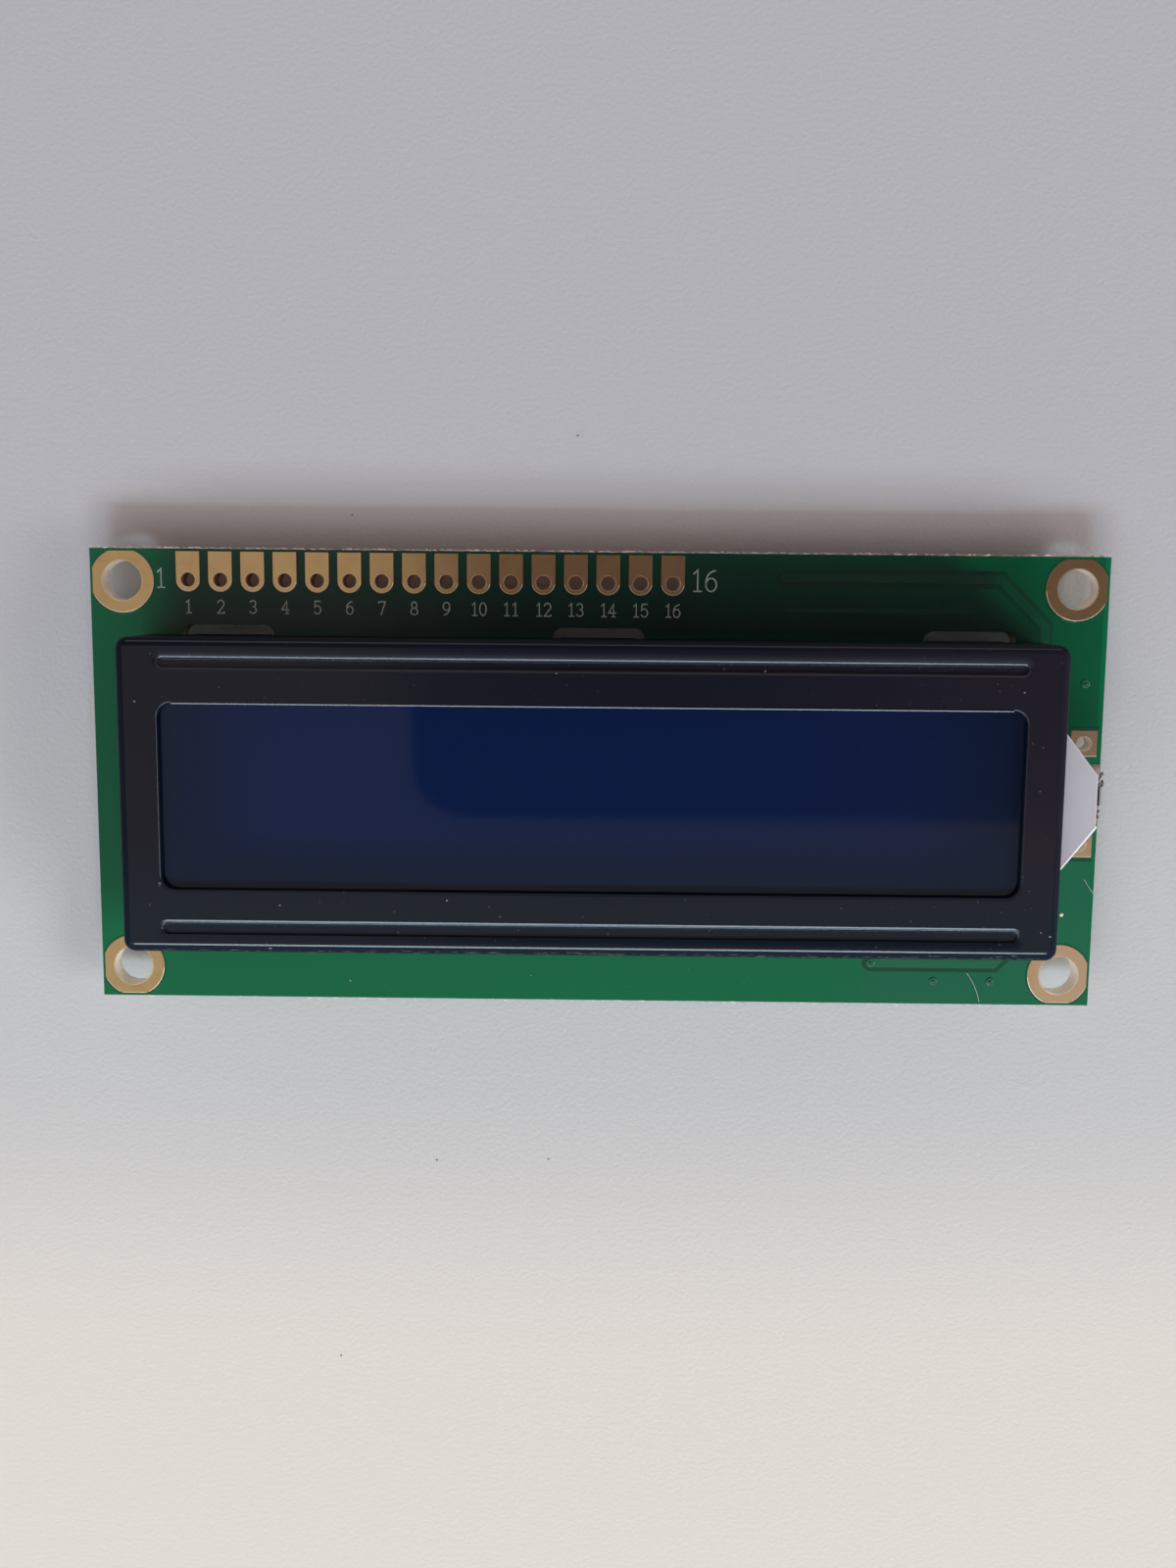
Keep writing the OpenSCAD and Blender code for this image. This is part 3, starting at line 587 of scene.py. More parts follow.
def strip_sections(path, width):
    """Centre, sideways direction and half width at each section of a strip with round ends."""
    points = [Vector(p) for p in path]
    runs = [(b - a).normalized() for a, b in zip(points, points[1:])]
    half = width / 2
    sections = []
    for i, here in enumerate(points):
        before, after = runs[max(i - 1, 0)], runs[min(i, len(runs) - 1)]
        along = (before + after).normalized()
        sections.append((here, along, half / max(along.dot(after), 0.5)))
    ends = [[(end + out * half * math.sin(a), along, half * math.cos(a)) for a in END_TURNS]
            for end, out, along in ((points[0], -runs[0], runs[0]),
                                    (points[-1], runs[-1], runs[-1]))]
    return ends[0][::-1] + sections + ends[1]


def strips(name, paths, width, rise, material, face=FRONT, slope=STRIP_SLOPE):
    """Raised strips along paths on a face."""
    shell = Shell()
    for path in paths:
        sections = []
        for centre, along, half in strip_sections(path, width):
            sideways = Vector((-along.y, along.x))
            edge, crest = half, max(half - slope, half * 0.3)
            corners = [(edge, -STRIP_ROOT), (crest, rise), (-crest, rise), (-edge, -STRIP_ROOT)]
            sections.append([(*(centre + sideways * across), level(up, face))
                             for across, up in corners])
        shell.loft(sections)
    piece(name, shell, material)


def level(up, face):
    """A height over a face, which is given as its own height and the way it looks."""
    return face[0] + face[1] * up


def rounds(profile, x, y, steps, face):
    """A circle of points round x, y for each (radius, height) of a profile."""
    return [[(px, py, level(up, face)) for px, py in circle(x, y, radius, steps)]
            for radius, up in profile]


def turned(name, profile, places, material, face=FRONT):
    """Small round shapes on a face. The profile runs from the outer rim in."""
    steps = 24
    shell = Shell()
    for x, y in places:
        shell.loft(rounds(profile, x, y, steps, face))
    piece(name, shell, material, smooth=True)


def hoops(name, profile, places, material, face):
    """Rings on a face. The profile is a closed outline."""
    steps = 64
    shell = Shell()
    for x, y in places:
        rings = [shell.ring(points) for points in rounds(profile, x, y, steps, face)]
        for one, two in zip(rings, rings[1:] + rings[:1]):
            shell.join(one, two)
    piece(name, shell, material, smooth=True)


def bent_rod(shell, path, radius, sides=6):
    """A thin round rod along a path of points in space."""
    points = [Vector(p) for p in path]
    sections = []
    for i, here in enumerate(points):
        along = (points[min(i + 1, len(points) - 1)] - points[max(i - 1, 0)]).normalized()
        across = along.cross(Vector((0, 0, 1))).normalized()
        over = along.cross(across)
        sections.append([here + (across * math.cos(t) + over * math.sin(t)) * radius
                         for t in (2 * math.pi * k / sides for k in range(sides))])
    shell.loft(sections)


# Numbers drawn in strokes: each digit is one unit high

DIGIT_WIDTH = 0.56
DIGIT_STEP = 0.66
DIGITS = {
    "0": [arc(0.28, 0.5, 0.25, 0.5, 90, 450, 24)],
    "1": [[(0.12, 0.83), (0.30, 1.0), (0.30, 0)], [(0.12, 0), (0.48, 0)]],
    "2": [arc(0.28, 0.73, 0.25, 0.27, 165, -30) + [(0.04, 0), (0.54, 0), (0.54, 0.10)]],
    "3": [arc(0.27, 0.76, 0.22, 0.24, 155, -90), arc(0.27, 0.26, 0.26, 0.26, 90, -155)],
    "4": [[(0.56, 0.30), (0.02, 0.30), (0.40, 1.0), (0.40, 0)], [(0.28, 0), (0.52, 0)]],
    "5": [[(0.50, 1.0), (0.11, 1.0), (0.06, 0.53)] + arc(0.27, 0.32, 0.26, 0.32, 125, -150)],
    "6": [arc(0.50, 0.42, 0.47, 0.56, 95, 180) + arc(0.28, 0.31, 0.25, 0.31, 180, 540, 24)],
    "7": [[(0.04, 0.90), (0.04, 1.0), (0.54, 1.0), (0.22, 0)]],
    "8": [arc(0.28, 0.76, 0.20, 0.24, 270, 630, 20), arc(0.28, 0.26, 0.26, 0.26, 90, 450, 20)],
}
DIGITS["9"] = [[(DIGIT_WIDTH - x, 1 - y) for x, y in stroke] for stroke in DIGITS["6"]]


def number_strokes(value, x, y, height, back=False):
    """Strokes of a number centred at x, y; on the back it reads from behind."""
    text = str(value)
    flip = -1 if back else 1
    start = -height * (DIGIT_STEP * (len(text) - 1) + DIGIT_WIDTH) / 2
    return [[(x + flip * (start + height * (DIGIT_STEP * i + px)), y + height * (py - 0.5))
             for px, py in stroke] for i, digit in enumerate(text) for stroke in DIGITS[digit]]


# Board details

PIN_COUNT = 16
INK_RISE = 0.02
COPPER_RISE = 0.03
GAP_RISE = 0.004


def header_places():
    """Centres of the header pads, from the pads' own box."""
    low, high = in_mm(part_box("header_pads"))
    width = HEADER_PAD
    pitch = (high.x - low.x - width) / (PIN_COUNT - 1)
    return [(low.x + width / 2 + i * pitch, low.y + width / 2) for i in range(PIN_COUNT)]


def corner_places():
    """Centres of the four mounting holes."""
    across, along = BOARD_HIGH.x / MM - RING_INSET, BOARD_HIGH.y / MM - RING_INSET
    return [(sx * across, sy * along) for sx in (-1, 1) for sy in (-1, 1)]


def edge_angle(radius, gap):
    """Degrees from the nearest edge's direction to where a circle comes that close to it."""
    return math.degrees(math.acos((RING_INSET - gap) / radius))


def front_print(ink):
    """Numbers printed round the header row, in white ink."""
    places = header_places()
    first, last = places[0], places[-1]
    ends = number_strokes(1, first[0] - 2.15, first[1] + 0.1, FIRST_NUMBER)
    ends += number_strokes(PIN_COUNT, last[0] + 2.45, last[1] + 0.27, LAST_NUMBER)
    strips("end_numbers", ends, 0.13, INK_RISE, ink)
    under_pin = 2.1
    small = []
    for i, (x, y) in enumerate(places):
        small += number_strokes(i + 1, x, y - under_pin, PIN_NUMBER)
    strips("pin_numbers", small, 0.11, INK_RISE, ink)


def ring_gaps(dark):
    """Dark gaps in the copper round the corner rings, cut off at the board's edges."""
    radius = RING_D / 2 + 0.1
    opening = edge_angle(radius, 0.15)
    paths = []
    for cx, cy in corner_places():
        sx, sy = math.copysign(1, cx), math.copysign(1, cy)
        for start, end in ((opening, 90 - opening), (90 + opening, 360 - opening)):
            bow = arc(0, 0, radius, radius, start, end, 40)
            paths.append([(cx + sx * x, cy + sy * y) for x, y in bow])
    strips("ring_gaps", paths, 0.14, GAP_RISE, dark)


def front_traces(dark, copper, thin):
    """The few traces that show outside the bezel: a light core in a dark gap."""
    upper = [(14.6, 16.15), (31.45, 16.15), (35.05, 12.55), (35.05, 11.0)]
    inner = [(14.6, 13.6), (29.0, 13.6)]
    lower = [TRACK_VIA, (32.2, -14.65), (34.4, -12.45)]
    strips("front_gaps", [upper, lower], 1.45, GAP_RISE, dark)
    strips("front_track", [lower], 0.75, COPPER_RISE, copper)
    strips("upper_track", [upper], 0.75, COPPER_RISE, thin)
    strips("inner_track", [inner], 0.4, COPPER_RISE, thin)
    low, high = in_mm(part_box("supply_pads"))
    moats = [[(low.x, y), (high.x, y)] for y in (high.y + 0.25, low.y - 0.25)]
    strips("supply_moats", moats, 0.3, GAP_RISE, dark)


def vias(name, places, copper, dark, face=FRONT):
    """Covered via holes: a low ring with a dark dimple."""
    ring = [(0.36, -STRIP_ROOT), (0.31, 0.045), (0.24, 0.06), (0.18, 0.035), (0.12, 0.035)]
    dimple = [(0.17, 0.02), (0.15, 0.05), (0.08, 0.045)]
    turned(name, ring, places, copper, face=face)
    turned(name + "_dimples", dimple, places, dark, face=face)


def ring_rims(radius):
    """The southern edges of the corner rings, which stop at the board's edges."""
    opening = edge_angle(radius, 0.25)
    paths = []
    for cx, cy in corner_places():
        start = 185 + opening * (cx < 0)
        end = 355 - opening * (cx > 0)
        spans = [(start, end)] if cy > 0 else [(start, 265 - opening), (275 + opening, end)]
        paths += [arc(cx, cy, radius, radius, a, b, 40) for a, b in spans]
        if cy < 0:
            flat_y = cy - RING_INSET + 0.25
            paths.append([(cx - 0.9, flat_y), (cx + 0.9, flat_y)])
    return paths


def plated_rims(gold):
    """Rounded edges of the plating, which catch the light: round the lands and the holes."""
    width = 0.08
    pins = header_places()
    half = (HEADER_PAD - width) / 2
    low, high = in_mm(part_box("supply_pads"))
    side = (high.x - low.x - width) / 2
    middle = (low.x + high.x) / 2
    supply = [(middle, low.y + side + width / 2), (middle, high.y - side - width / 2)]
    paths = ring_rims((RING_D - width) / 2)
    paths += [arc(x, y, half, half, 190, 350, 16) for x, y in pins]
    paths += [[(x - side, y - side), (x + side, y - side)] for x, y in supply]
    strips("land_rims", paths, width, 0.006, gold, face=PLATED, slope=0.04)
    for name, radius, places in (("mount_rims", MOUNT_HOLE_R, corner_places()),
                                 ("header_rims", PIN_HOLE_R, pins),
                                 ("supply_rims", PIN_HOLE_R, supply)):
        lip = [(0.07, -0.004), (0.05, 0.004), (0.02, -0.006), (-0.002, -0.04), (0.03, -0.05)]
        hoops(name, [(radius + out, up) for out, up in lip], places, gold, PLATED)


def nose_edges(film):
    """The rounded edge of the film along the nose's two slants and its tip, whiter as a painted
    highlight.
    """
    low, high = in_mm(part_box("nose_film"))
    middle = (low.y + high.y) / 2
    inset = 0.02
    tip = NOSE_TIP / 2 - inset
    corners = [(low.x, high.y - inset), (high.x - inset, middle + tip),
               (high.x - inset, middle - tip), (low.x, low.y + inset)]
    film_top = (high.z, 1)
    strips("nose_edges", [corners[:3]], 0.06, 0.008, film, face=film_top, slope=0.03)
    strips("nose_lower_edge", [corners[2:]], 0.24, 0.04, film, face=film_top, slope=0.17)


def lamp_back(body):
    """The dark back of the lamp, just outside the nose's tip."""
    low, high = in_mm(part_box("backlight_lamp"))
    top = in_mm(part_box("nose_film"))[1].z
    middle = (low.y + high.y) / 2 + 0.43
    near, far = high.x + 0.01, high.x + 0.16
    outer = [(near, middle - 0.75), (far, middle - 0.72), (far, middle + 0.72),
             (near, middle + 0.75)]
    inner = [(x - 0.03 * (x == far), middle + (y - middle) * 0.94) for x, y in outer]
    shell = Shell()
    shell.loft([[(x, y, low.z) for x, y in outer], [(x, y, top - 0.1) for x, y in outer],
                [(x, y, top - 0.02) for x, y in inner]])
    piece("lamp_back", shell, body)


def solder_mounds(solder):
    """Low, uneven solder over the lamp's two pads."""
    rough = random.Random(5)
    # Each layer's share of the pad and its height over it
    layers = ((1.0, -0.02), (0.99, 0.03), (0.85, 0.1), (0.6, 0.16), (0.25, 0.18))
    shell = Shell()
    for low, high in islands("lamp_pads"):
        cx, cy = (low.x + high.x) / 2, (low.y + high.y) / 2
        half_x, half_y = (high.x - low.x) / 2, (high.y - low.y) / 2
        sections = []
        for share, rise in layers:
            outline = []
            for px, py in circle(0, 0, 1, 20):
                reach = share / max(abs(px), abs(py)) ** 0.8
                outline.append((cx + px * reach * half_x * rough.uniform(0.94, 1),
                                cy + py * reach * half_y * rough.uniform(0.94, 1), high.z + rise))
            sections.append(outline)
        shell.loft(sections)
    piece("lamp_solder", shell, solder, smooth=True)


def uneven(rough, x, y, radius):
    """A rough outline with seven corners round x, y."""
    return [(x + radius * rough.uniform(0.6, 1.4) * px, y + radius * rough.uniform(0.6, 1.4) * py)
            for px, py in circle(0, 0, 1, 7)]


def mound(shell, x, y, outline, low, high):
    """A grain round x, y, from its outline at one height to a smaller one at another."""
    shell.loft([[(px, py, low) for px, py in outline],
                [(x + (px - x) * 0.6, y + (py - y) * 0.6, high) for px, py in outline]])


def solder_crumbs(solder):
    """Burnt crumbs of solder and flux up the lamp's leads, beside the nose's tip."""
    low, high = in_mm(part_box("nose_film"))
    middle = (low.y + high.y) / 2
    rough = random.Random(15)
    # Two groups, each from and to along the tip, with its reach out of it and its count
    groups = ((1.2, 2.3, 0.46, 20), (-1.3, -0.65, 0.26, 8))
    shell = Shell()
    for start, end, reach, count in groups:
        for _ in range(count):
            y = middle + rough.uniform(start, end)
            z = high.z - rough.uniform(0.05, 0.6)
            x = high.x + rough.uniform(0.03, reach)
            size = rough.uniform(0.05, 0.12)
            shell.loft([[(*point, z + size * up) for point in uneven(rough, x, y, size * share)]
                        for share, up in ((0.5, -0.8), (1, -0.2), (0.8, 0.4), (0.3, 0.8))])
    piece("solder_crumbs", shell, solder)


def edge_burrs(fibre):
    """Short broken glass fibres along the board's upper and lower cut edges."""
    rough = random.Random(11)
    shell = Shell()
    half = BOARD_HIGH.x / MM - 0.3
    for side, count in ((-1, 160), (1, 700)):
        edge = side * BOARD_HIGH.y / MM
        for _ in range(count):
            x = rough.uniform(-half, half)
            z = rough.uniform(0.9, TOP / MM)
            lean = rough.uniform(-0.25, 0.25)
            out = side * rough.uniform(0.03, 0.16)
            bent_rod(shell, [(x, edge - side * 0.02, z), (x + lean, edge + out, z + 0.02),
                             (x + 2 * lean, edge + out * 0.6, z + rough.uniform(-0.05, 0.08))],
                     0.028, 3)
    piece("edge_fibres", shell, fibre)


def dust_grain(shell, rough, x, y, z):
    """A low, uneven grain of dust."""
    size = rough.uniform(0.05, 0.11)
    turn = rough.uniform(0, 180)
    outline = [(x + size * rough.uniform(0.7, 1.3) * math.cos(math.radians(a + turn)),
                y + 0.6 * size * rough.uniform(0.7, 1.3) * math.sin(math.radians(a)))
               for a in range(0, 360, 60)]
    mound(shell, x, y, outline, z - 0.02, z + 0.03)


def hair(shell, start, middle, end):
    """A hair on the board, drawn from its start to its end towards a middle point."""
    steps = 12
    path = []
    for i in range(steps + 1):
        t = i / steps
        x, y = ((1 - t) ** 2 * start[k] + 2 * t * (1 - t) * middle[k] + t * t * end[k]
                for k in (0, 1))
        path.append((x, y, TOP / MM + 0.03 + 0.05 * math.sin(math.pi * t)))
    bent_rod(shell, path, 0.03)


def loose_bits(pale):
    """Dust on the bezel and the board, and two fine hairs on the board."""
    rough = random.Random(3)
    shell = Shell()
    for spots, z in ((BEZEL_DUST, BEZEL_HIGH.z / MM), (BOARD_DUST, TOP / MM)):
        for x, y in spots:
            dust_grain(shell, rough, x, y, z)
    for points in BOARD_HAIRS:
        hair(shell, *points)
    piece("loose_bits", shell, pale)


def worn_folds(bare):
    """Rubbed spots along the bezel's southern fold, where the paint is thin."""
    rough = random.Random(8)
    shell = Shell()
    low, high = BEZEL_LOW / MM, BEZEL_HIGH / MM
    spot_count, usual_tilt = 150, 44
    under, over = -0.01, 0.004
    for _ in range(spot_count):
        x = rough.uniform(low.x + 1.5, high.x - 1.5)
        tilt = rough.gauss(usual_tilt, 9)
        length, width = rough.uniform(0.1, 0.9), rough.uniform(0.6, 1.6)
        sections = []
        for along, spread in ((0, 0.2), (0.3, 1), (0.7, 0.9), (1, 0.2)):
            corners = []
            for side, lift in ((-1, under), (-1, over), (1, over), (1, under)):
                a = math.radians(tilt + side * width * spread)
                corners.append((x + length * along, PLATE_SOUTH - (FOLD + lift) * math.sin(a),
                                high.z - FOLD + (FOLD + lift) * math.cos(a)))
            sections.append(corners)
        shell.loft(sections)
    piece("worn_paint", shell, bare)


def lip_path(half, turn):
    """Places along one side of a bead, each as its centre along the bead and the way out of it.

    The path turns that many degrees round each end of the bead.
    """
    steps, runs = 8, 80
    left = [(-half, 90 + turn * (1 - i / steps)) for i in range(steps)]
    straight = [(-half + 2 * half * i / runs, 90) for i in range(runs + 1)]
    right = [(half, 90 - turn * (i + 1) / steps) for i in range(steps)]
    return left + straight + right


def polished_lips(paint):
    """The edges of the beads, window and folds that catch the light, where paint lies smooth.

    Each is given as the distance of its line from the bezel's middle, half its length, how far it
    turns round its ends, and its section as offsets outwards and heights over the plate.
    """
    rough = random.Random(21)
    low, high = BEZEL_LOW / MM, BEZEL_HIGH / MM
    middle_x, middle_y = (low.x + high.x) / 2, (low.y + high.y) / 2
    half_length = (high.x - low.x) / 2
    window_half = half_length - WINDOW_END - WINDOW_ROUND
    bead_half = half_length - BEAD_END - BEAD_W / 2
    fold_half = half_length - 0.9
    window_lip = [(0.17, 0.004), (0.01, 0.004), (-0.06, -0.026)]
    bead_lip = [(0.44, -0.092), (0.375, -0.119)]
    bead_floor = [(0.235, -0.335), (0.205, -0.345)]
    lower_bead_lip = [(0.79, -0.01), (0.745, 0.034), (0.625, 0.0)]
    south_fold = [(0.14, -0.01), (0.10, 0.036), (-0.03, 0.001)]
    north_fold = [(0.42, -0.15), (0.33, -0.07), (0.29, -0.065)]
    lips = [(WINDOW_SIDE, window_half, 0, window_lip), (BEAD_Y, bead_half, 80, bead_lip),
            (BEAD_Y, bead_half, 0, bead_floor), (-BEAD_Y, bead_half, 60, lower_bead_lip),
            (PLATE_SOUTH - middle_y, fold_half, 0, south_fold),
            (PLATE_NORTH - middle_y, fold_half, 0, north_fold)]
    shell = Shell()
    for base, half, turn, section in lips:
        under = [(section[-1][0] + 0.01, section[-1][1] - 0.05),
                 (section[0][0] - 0.01, section[0][1] - 0.05)]
        sections = []
        for x, way in lip_path(half, turn):
            wave = rough.uniform(-0.003, 0.003)
            out = Vector((math.cos(math.radians(way)), math.sin(math.radians(way))))
            centre = Vector((middle_x + x, middle_y + base))
            sections.append([(*(centre + out * offset), high.z + up + wave)
                             for offset, up in section + under])
        shell.loft(sections)
    piece("polished_lips", shell, paint)


# The back of the board

def islands(node):
    """Boxes, in millimetres, of the separate solids in one CAD node."""
    mesh = frame["nodes"][node].data
    solids = []
    for polygon in mesh.polygons:
        corners = {tuple(round(c / MM, 3) for c in mesh.vertices[i].co) for i in polygon.vertices}
        joined = [solid for solid in solids if solid & corners]
        solids = [solid for solid in solids if not solid & corners] + [corners.union(*joined)]
    boxes = [(Vector(map(min, zip(*solid))), Vector(map(max, zip(*solid)))) for solid in solids]
    return sorted(boxes, key=lambda b: (round(b[0].x, 2), round(b[0].y, 2)))


def rim_point(centre, degrees):
    """Where a track goes under a blob's edge."""
    a = math.radians(degrees)
    return (centre[0] + BLOB_RIM * math.cos(a), centre[1] + BLOB_RIM * math.sin(a))


def rim_x(centre, y, side):
    """Where a level track meets a blob's left (-1) or right (1) edge."""
    return centre[0] + side * math.sqrt(BLOB_RIM ** 2 - (y - centre[1]) ** 2)


def header_tracks(pins, blob):
    """Tracks from the data pins, between two claw slots and on to the controller's blob."""
    tracks = []
    last = len(pins) - 1
    for k, (x, y) in enumerate(pins):
        share = k / last
        gate = GATE_LEFT + (GATE_RIGHT - GATE_LEFT) * share
        row = DATA_ROW - 0.35 * max(k - 7, 0)
        end = rim_point(blob, 150 - 120 * share)
        start = [(x, y - 0.7), (x, row), (gate, row), (gate, GATE_NORTH)]
        tracks.append(shorten_corners(start, 0.3)
                      + [(gate, GATE_SOUTH), (end[0], GATE_SOUTH - abs(end[0] - gate)), end])
    return tracks


def bus_tracks(left, right):
    """Tracks that join the two chips, one inside the other."""
    tracks = []
    for k in range(6):
        reach = 5.5 - 1.1 * k
        y = left[1] - math.sqrt(BLOB_RIM ** 2 - reach ** 2)
        row = -9.0 - 0.5 * k
        tracks.append(shorten_corners([(left[0] + reach, y), (left[0] + reach, row),
                                       (right[0] - reach, row), (right[0] - reach, y)], 0.6))
    return tracks


def display_tracks(blob, side, count, sweep):
    """Tracks from a blob's outer side to a row of vias over the display's lower contacts."""
    first, pitch = 4.5, 1.2
    tracks = []
    for k in range(count):
        x, y = rim_point(blob, -60 + sweep * k / (count - 1))
        x = blob[0] + side * (x - blob[0])
        via_x = blob[0] + side * (first + pitch * k)
        tracks.append(shorten_corners([(x, y), (via_x, y), (via_x, VIA_ROW)], 1.0))
    return tracks


def chip_tracks(left, right):
    """Short level tracks between the two chips, the chip components and the bridge pads."""
    tracks = [[(-4.0, y), (rim_x(left, y, 1), y)] for y in (-2.5, -5.5)]
    tracks += [[(4.0, y), (rim_x(right, y, -1), y)] for y in (0.5, -2.5, -5.5)]
    tracks += [[(-1.2, y), (1.2, y)] for y in (6.5, 0.5, -5.5)]
    tracks += [[(-27.5, y), (rim_x(left, y, -1), y)] for y in (0.0, -2.4)]
    return tracks


def supply_tracks(pins):
    """Wide tracks from the outer pins: two to the bridge pads and two to the backlight's pads."""
    tracks = [
        [pins[0], (-32.3, 13.7), (-34.3, 13.7), (-34.3, -2.4), (-29.5, -2.4)],
        [pins[1], (pins[1][0], 13.0), (-33.5, 13.0), (-33.5, 2.4), (-29.5, 2.4)],
        [pins[14], (pins[14][0], 13.9), (4.7, 13.9), (4.7, 9.7), (34.6, 9.7), (34.6, -4.75),
         (37.8, -4.75)],
        [pins[15], (pins[15][0], 12.95), (35.9, 12.95), (35.9, 3.35), (37.8, 3.35)]]
    for track in tracks:
        track[0] = (track[0][0], track[0][1] - 0.88)
    return [shorten_corners(track, 0.7) for track in tracks]


def back_lines(pins, blobs):
    """Printed circles round the blobs, lines by the chip components, and numbers."""
    lines = [arc(x, y, BLOB_PRINT, BLOB_PRINT, 0, 360, 72) for x, y in blobs]
    for low, high in islands("chip_resistors") + islands("chip_capacitors"):
        x0, y0, x1, y1 = low.x - 0.95, low.y - 0.3, high.x + 0.95, high.y + 0.3
        lines += [[(x0, y0), (x1, y0)], [(x0, y1), (x1, y1)]]
    lines += number_strokes(1, pins[0][0] - 2.2, pins[0][1], FIRST_NUMBER, back=True)
    lines += number_strokes(PIN_COUNT, pins[-1][0] + 2.45, pins[-1][1], LAST_NUMBER, back=True)
    for i, y in enumerate((2.4, 0, -2.4)):
        lines += number_strokes(i + 1, -25.9, y + 0.95, PIN_NUMBER, back=True)
    return lines


def back_of_board(copper, dark, ink, solder):
    blobs = []
    for node in ("controller_blob", "driver_blob"):
        low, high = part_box(node)
        blobs.append(((low.x + high.x) / 2 / MM, (low.y + high.y) / 2 / MM))
    left, right = blobs
    pins = header_places()
    outer = display_tracks(right, 1, 12, 98) + display_tracks(left, -1, 5, 34)
    upper = []
    for degrees in range(58, 130, 9):
        x, y = rim_point(right, degrees)
        upper.append([(x, y), (x, 7.6)])
    signals = header_tracks(pins[2:14], left) + bus_tracks(left, right) + outer + upper
    signals += chip_tracks(left, right)
    strips("signal_tracks", signals, 0.22, COPPER_RISE, copper, face=BACK)
    strips("supply_tracks", supply_tracks(pins), 0.55, COPPER_RISE, copper, face=BACK)
    vias("back_vias", [track[-1] for track in outer + upper] + LOWER_VIAS + [TRACK_VIA], copper,
         dark, face=BACK)
    strips("back_print", back_lines(pins, blobs), 0.14, 0.045, ink, face=BACK)
    solder_fillets(solder)


def solder_fillets(solder):
    """Hollow wedges of solder from each chip component's end down to its land."""
    lands = islands("component_lands")
    shell = Shell()
    for low, high in islands("resistor_ends") + islands("capacitor_ends"):
        middle = (low + high) / 2
        land = next(b for b in lands if b[0].x < middle.x < b[1].x and b[0].y < middle.y < b[1].y)
        right, left = land[1].x - high.x, low.x - land[0].x
        side = 1 if right > left else -1
        start = high.x if side > 0 else low.x
        reach = max(right, left) - 0.05
        tall, base = 0.8 * (high.z - low.z), high.z
        sections = []
        for t in (0, 0.15, 0.35, 0.6, 0.85, 1):
            half = (high.y - low.y) / 2 * (1 - 0.15 * t)
            up = tall * (1 - t) ** 2 + 0.015
            x = start + side * (reach * t - 0.02)
            sections.append([(x, middle.y - half, base), (x, middle.y - 0.85 * half, base - up),
                             (x, middle.y + 0.85 * half, base - up), (x, middle.y + half, base)])
        shell.loft(sections)
    piece("chip_solder", shell, solder)


# Stage

def stage_mesh(name, points, faces, material):
    """A thing round the object, with its points in millimetres."""
    thing = new_object(name, points, faces, material)
    return thing


def make_floor():
    """White paper, cool under the window light, with painted warm light in the south, painted
    shade far to the north and a painted shadow under the header row.
    """
    material = surface("paper", FLOOR_COOL, 0.85)
    across, along, _ = coordinates(material)
    # Painted shade dims the paper far to the north; painted warm light brightens it in the south
    cool = blend(ramp(along, FLOOR_NORTH, smooth=True), FLOOR_COOL, FLOOR_PAINTED_FAR_SHADE)
    paper = blend(ramp(along, FLOOR_SOUTH, smooth=True), cool, FLOOR_PAINTED_WARM_LIGHT)
    # Painted shadow on the paper under the header row, seen through the pin holes
    low, high = in_mm(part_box("header_pads"))
    deep = multiply(ramp(along, (low.y - 1, low.y)),
                    ramp(along, (high.y + 0.5, high.y - 0.5)),
                    ramp(across, (low.x - 1, low.x)),
                    ramp(across, (high.x + 1, high.x)))
    shader_input(material, "Base Color", blend(deep, paper, FLOOR_PAINTED_SHADOW))
    grain(material, 0.35, 0.045, 4)
    h = FLOOR_HALF
    z = cad_box[0].z / MM
    stage_mesh("floor", [(-h, -h, z), (h, -h, z), (h, h, z), (-h, h, z)], [(0, 1, 2, 3)], material)


def make_specks():
    """A few grains of dirt on the paper."""
    material = surface("dirt", (0.16, 0.14, 0.12), 0.9)
    rough = random.Random(4)
    floor_z = cad_box[0].z / MM
    shell = Shell()
    for x, y in FLOOR_SPECKS:
        mound(shell, x, y, uneven(rough, x, y, SPECK_RADIUS), floor_z - 0.01, floor_z + 0.05)
    stage_mesh("specks", shell.points, shell.faces, material)


def make_card():
    """Dark card over the display, which only reflections and shadows show."""
    material = surface("card", CARD_COLOUR, 0.6)
    points = []
    for x, y, start in ((CARD_RIGHT, CARD_NORTH, 0), (CARD_LEFT, CARD_NORTH, 90),
                        (CARD_LEFT, CARD_SOUTH, 180), (CARD_RIGHT, CARD_SOUTH, 270)):
        cx, cy = x - math.copysign(CARD_CORNER, x), y - math.copysign(CARD_CORNER, y)
        corner = arc(cx, cy, CARD_CORNER, CARD_CORNER, start, start + 90, 8)
        points += [(px, py, CARD_HEIGHT) for px, py in corner]
    card = stage_mesh("card", points, [tuple(range(len(points)))], material)
    card.visible_camera = False


def make_window(name, side, elevation, width, height, power, colour):
    """A window far away, seen from the object at that angle east of south."""
    data = bpy.data.lights.new(name, "AREA")
    data.shape = "RECTANGLE"
    data.size, data.size_y = width * MM, height * MM
    data.energy = power
    data.color = colour
    lamp = bpy.data.objects.new(name, data)
    turn, tilt = math.radians(side), math.radians(elevation)
    away = Vector((math.sin(turn) * math.cos(tilt), -math.cos(turn) * math.cos(tilt),
                   math.sin(tilt)))
    lamp.location = away * WINDOW_DISTANCE * MM
    lamp.rotation_mode = "QUATERNION"
    lamp.rotation_quaternion = (-away).to_track_quat("-Z", "Y")
    bpy.context.scene.collection.objects.link(lamp)


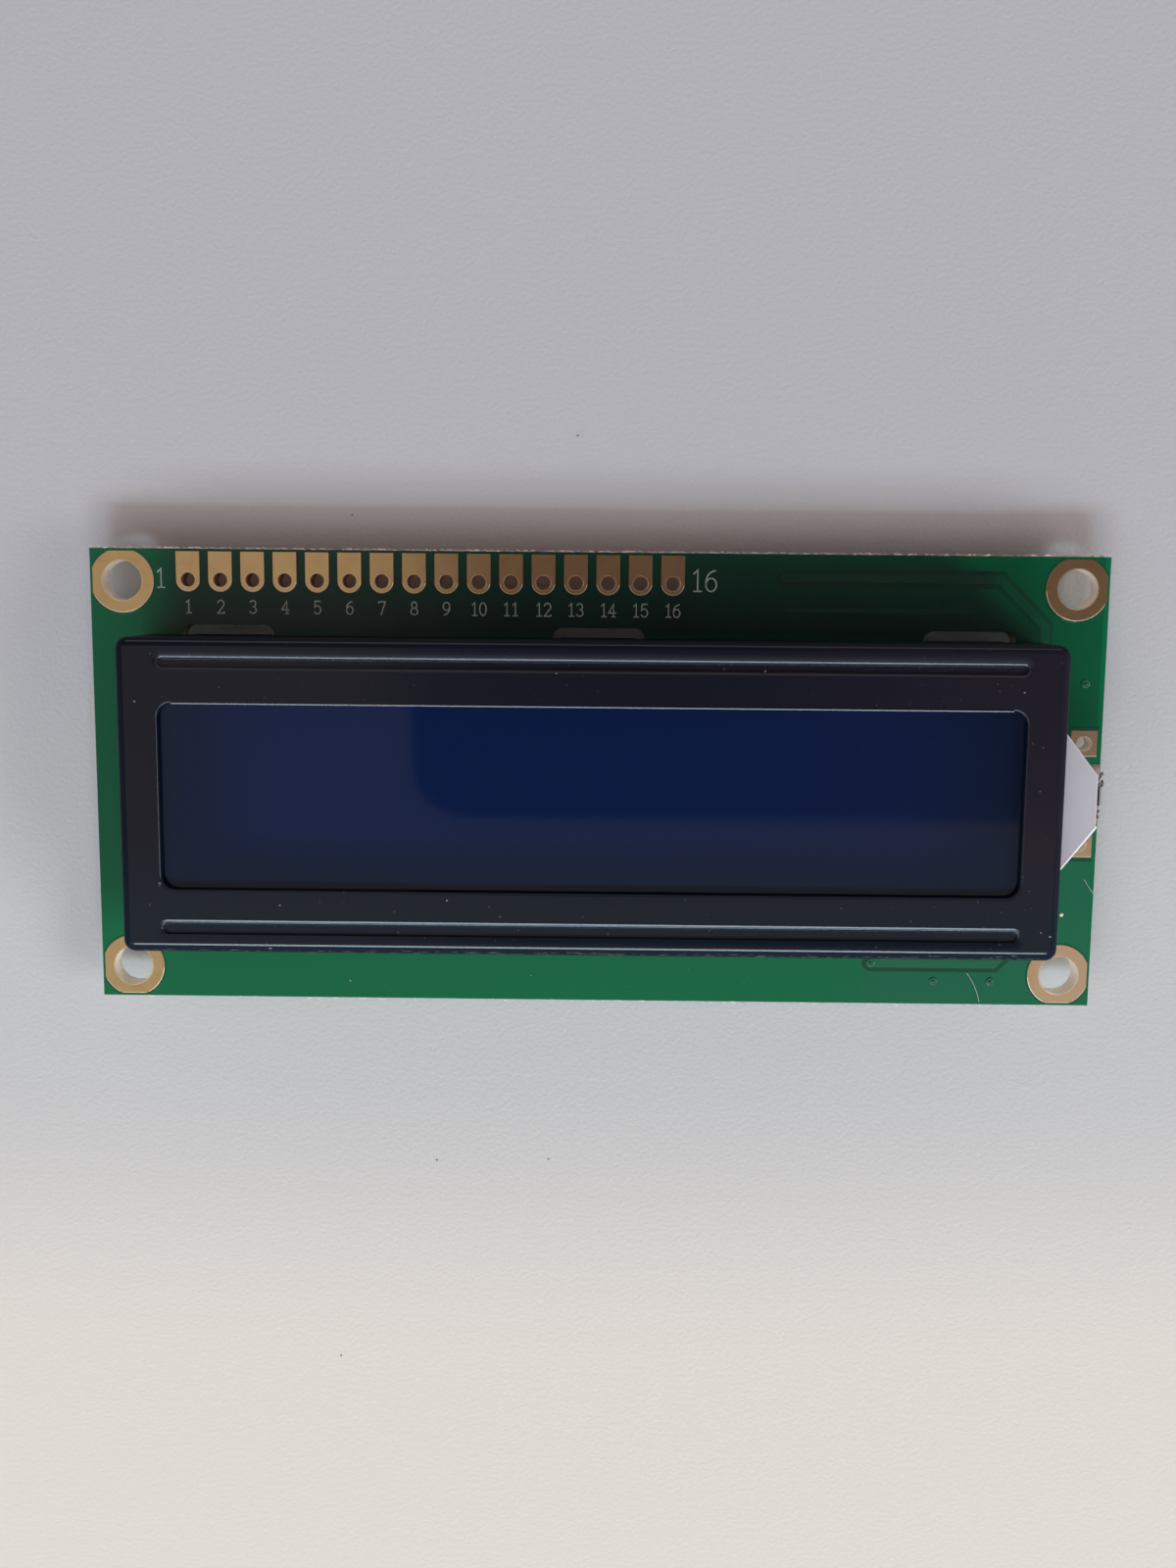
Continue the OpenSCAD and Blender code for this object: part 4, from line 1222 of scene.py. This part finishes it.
def make_sky():
    """A pale sky by the horizon, and the dimmer ceiling above."""
    world = bpy.data.worlds.new("sky")
    bpy.context.scene.world = world
    world.use_nodes = True
    direction = add(world.node_tree, "ShaderNodeTexCoord").outputs["Generated"]
    up = add(world.node_tree, "ShaderNodeSeparateXYZ", {"Vector": direction}).outputs["Z"]
    sky = blend(remap(up, 0.2, 0.55, smooth=True), SKY_HORIZON, SKY_OVERHEAD)
    background = world.node_tree.nodes["Background"]
    world.node_tree.links.new(sky, background.inputs["Color"])


def make_camera():
    """The photographer's phone, whose turn is given as an axis times its angle."""
    data = bpy.data.cameras.new("camera")
    data.lens = CAMERA_LENS
    data.sensor_width = SENSOR
    data.clip_start, data.clip_end = 1 * MM, 20
    camera = bpy.data.objects.new("camera", data)
    turn = Vector(CAMERA_TURN)
    facing = Matrix.Rotation(turn.length, 3, turn.normalized()).transposed().to_4x4()
    camera.matrix_world = Matrix.Translation(Vector(CAMERA_PLACE) * MM) @ facing
    bpy.context.scene.collection.objects.link(camera)
    bpy.context.scene.camera = camera


INK = grained_material("white_ink", (0.42, 0.53, 0.50), 0.5, 0.15, 0.003)
TRACK = surface("mask_over_copper", MASK_OVER_COPPER, MASK_ROUGHNESS)
WORN = surface("worn_paint", (0.20, 0.21, 0.23), 0.3, 0.6)
FIBRE = surface("glass_fibre", (0.95, 0.84, 0.80), 0.7)
# Gold painted paler and brighter than the lands: a painted highlight on the plating's rims and the
# test point
RIM = surface("painted_highlight_gold", (0.92, 0.83, 0.64), 0.45, 1.0)
SOLDER = metal_material("solder", (0.62, 0.62, 0.64), 0.35)
BURNT_SOLDER = surface("burnt_solder", (0.13, 0.115, 0.15), 0.5)
PAD_SOLDER = grained_material("pad_solder", (0.33, 0.27, 0.25), 0.5, 0.2, 0.02)
# Mask on the header's traces and gaps: each first colour is darker with the bezel's painted shadow
THIN_TRACK = trace_material("thin_mask_over_copper", (0.0060, 0.043, 0.028),
                            (0.0032, 0.088, 0.042))
GAP = trace_material("mask_over_bare_board", (0.0050, 0.032, 0.022), MASK_GAP)
POLISH = surface("polished_paint", PAINT, 0.2)
LAMP_BACK = grained_material("lamp_back", (0.36, 0.36, 0.39), 0.5)
# Much whiter than the nose's film: a painted highlight along its edges
FILM_HIGHLIGHT_EDGE = surface("film_highlight_edge", (0.97, 0.98, 1.0), 0.3)

front_print(INK)
ring_gaps(GAP)
front_traces(GAP, TRACK, THIN_TRACK)
vias("front_vias", [EDGE_VIA, TRACK_VIA] + LOWER_VIAS, TRACK, GAP)
turned("test_point", [(0.16, -STRIP_ROOT), (0.14, 0.03), (0.1, 0.035)], [TEST_POINT], RIM)
plated_rims(RIM)
nose_edges(FILM_HIGHLIGHT_EDGE)
lamp_back(LAMP_BACK)
solder_mounds(PAD_SOLDER)
solder_crumbs(BURNT_SOLDER)
polished_lips(POLISH)
edge_burrs(FIBRE)
loose_bits(INK)
worn_folds(WORN)
back_of_board(TRACK, GAP, INK, SOLDER)

make_floor()
make_specks()
make_card()
for window in WINDOWS:
    make_window(*window)
make_sky()
make_camera()
bpy.context.scene.view_settings.view_transform = "Standard"
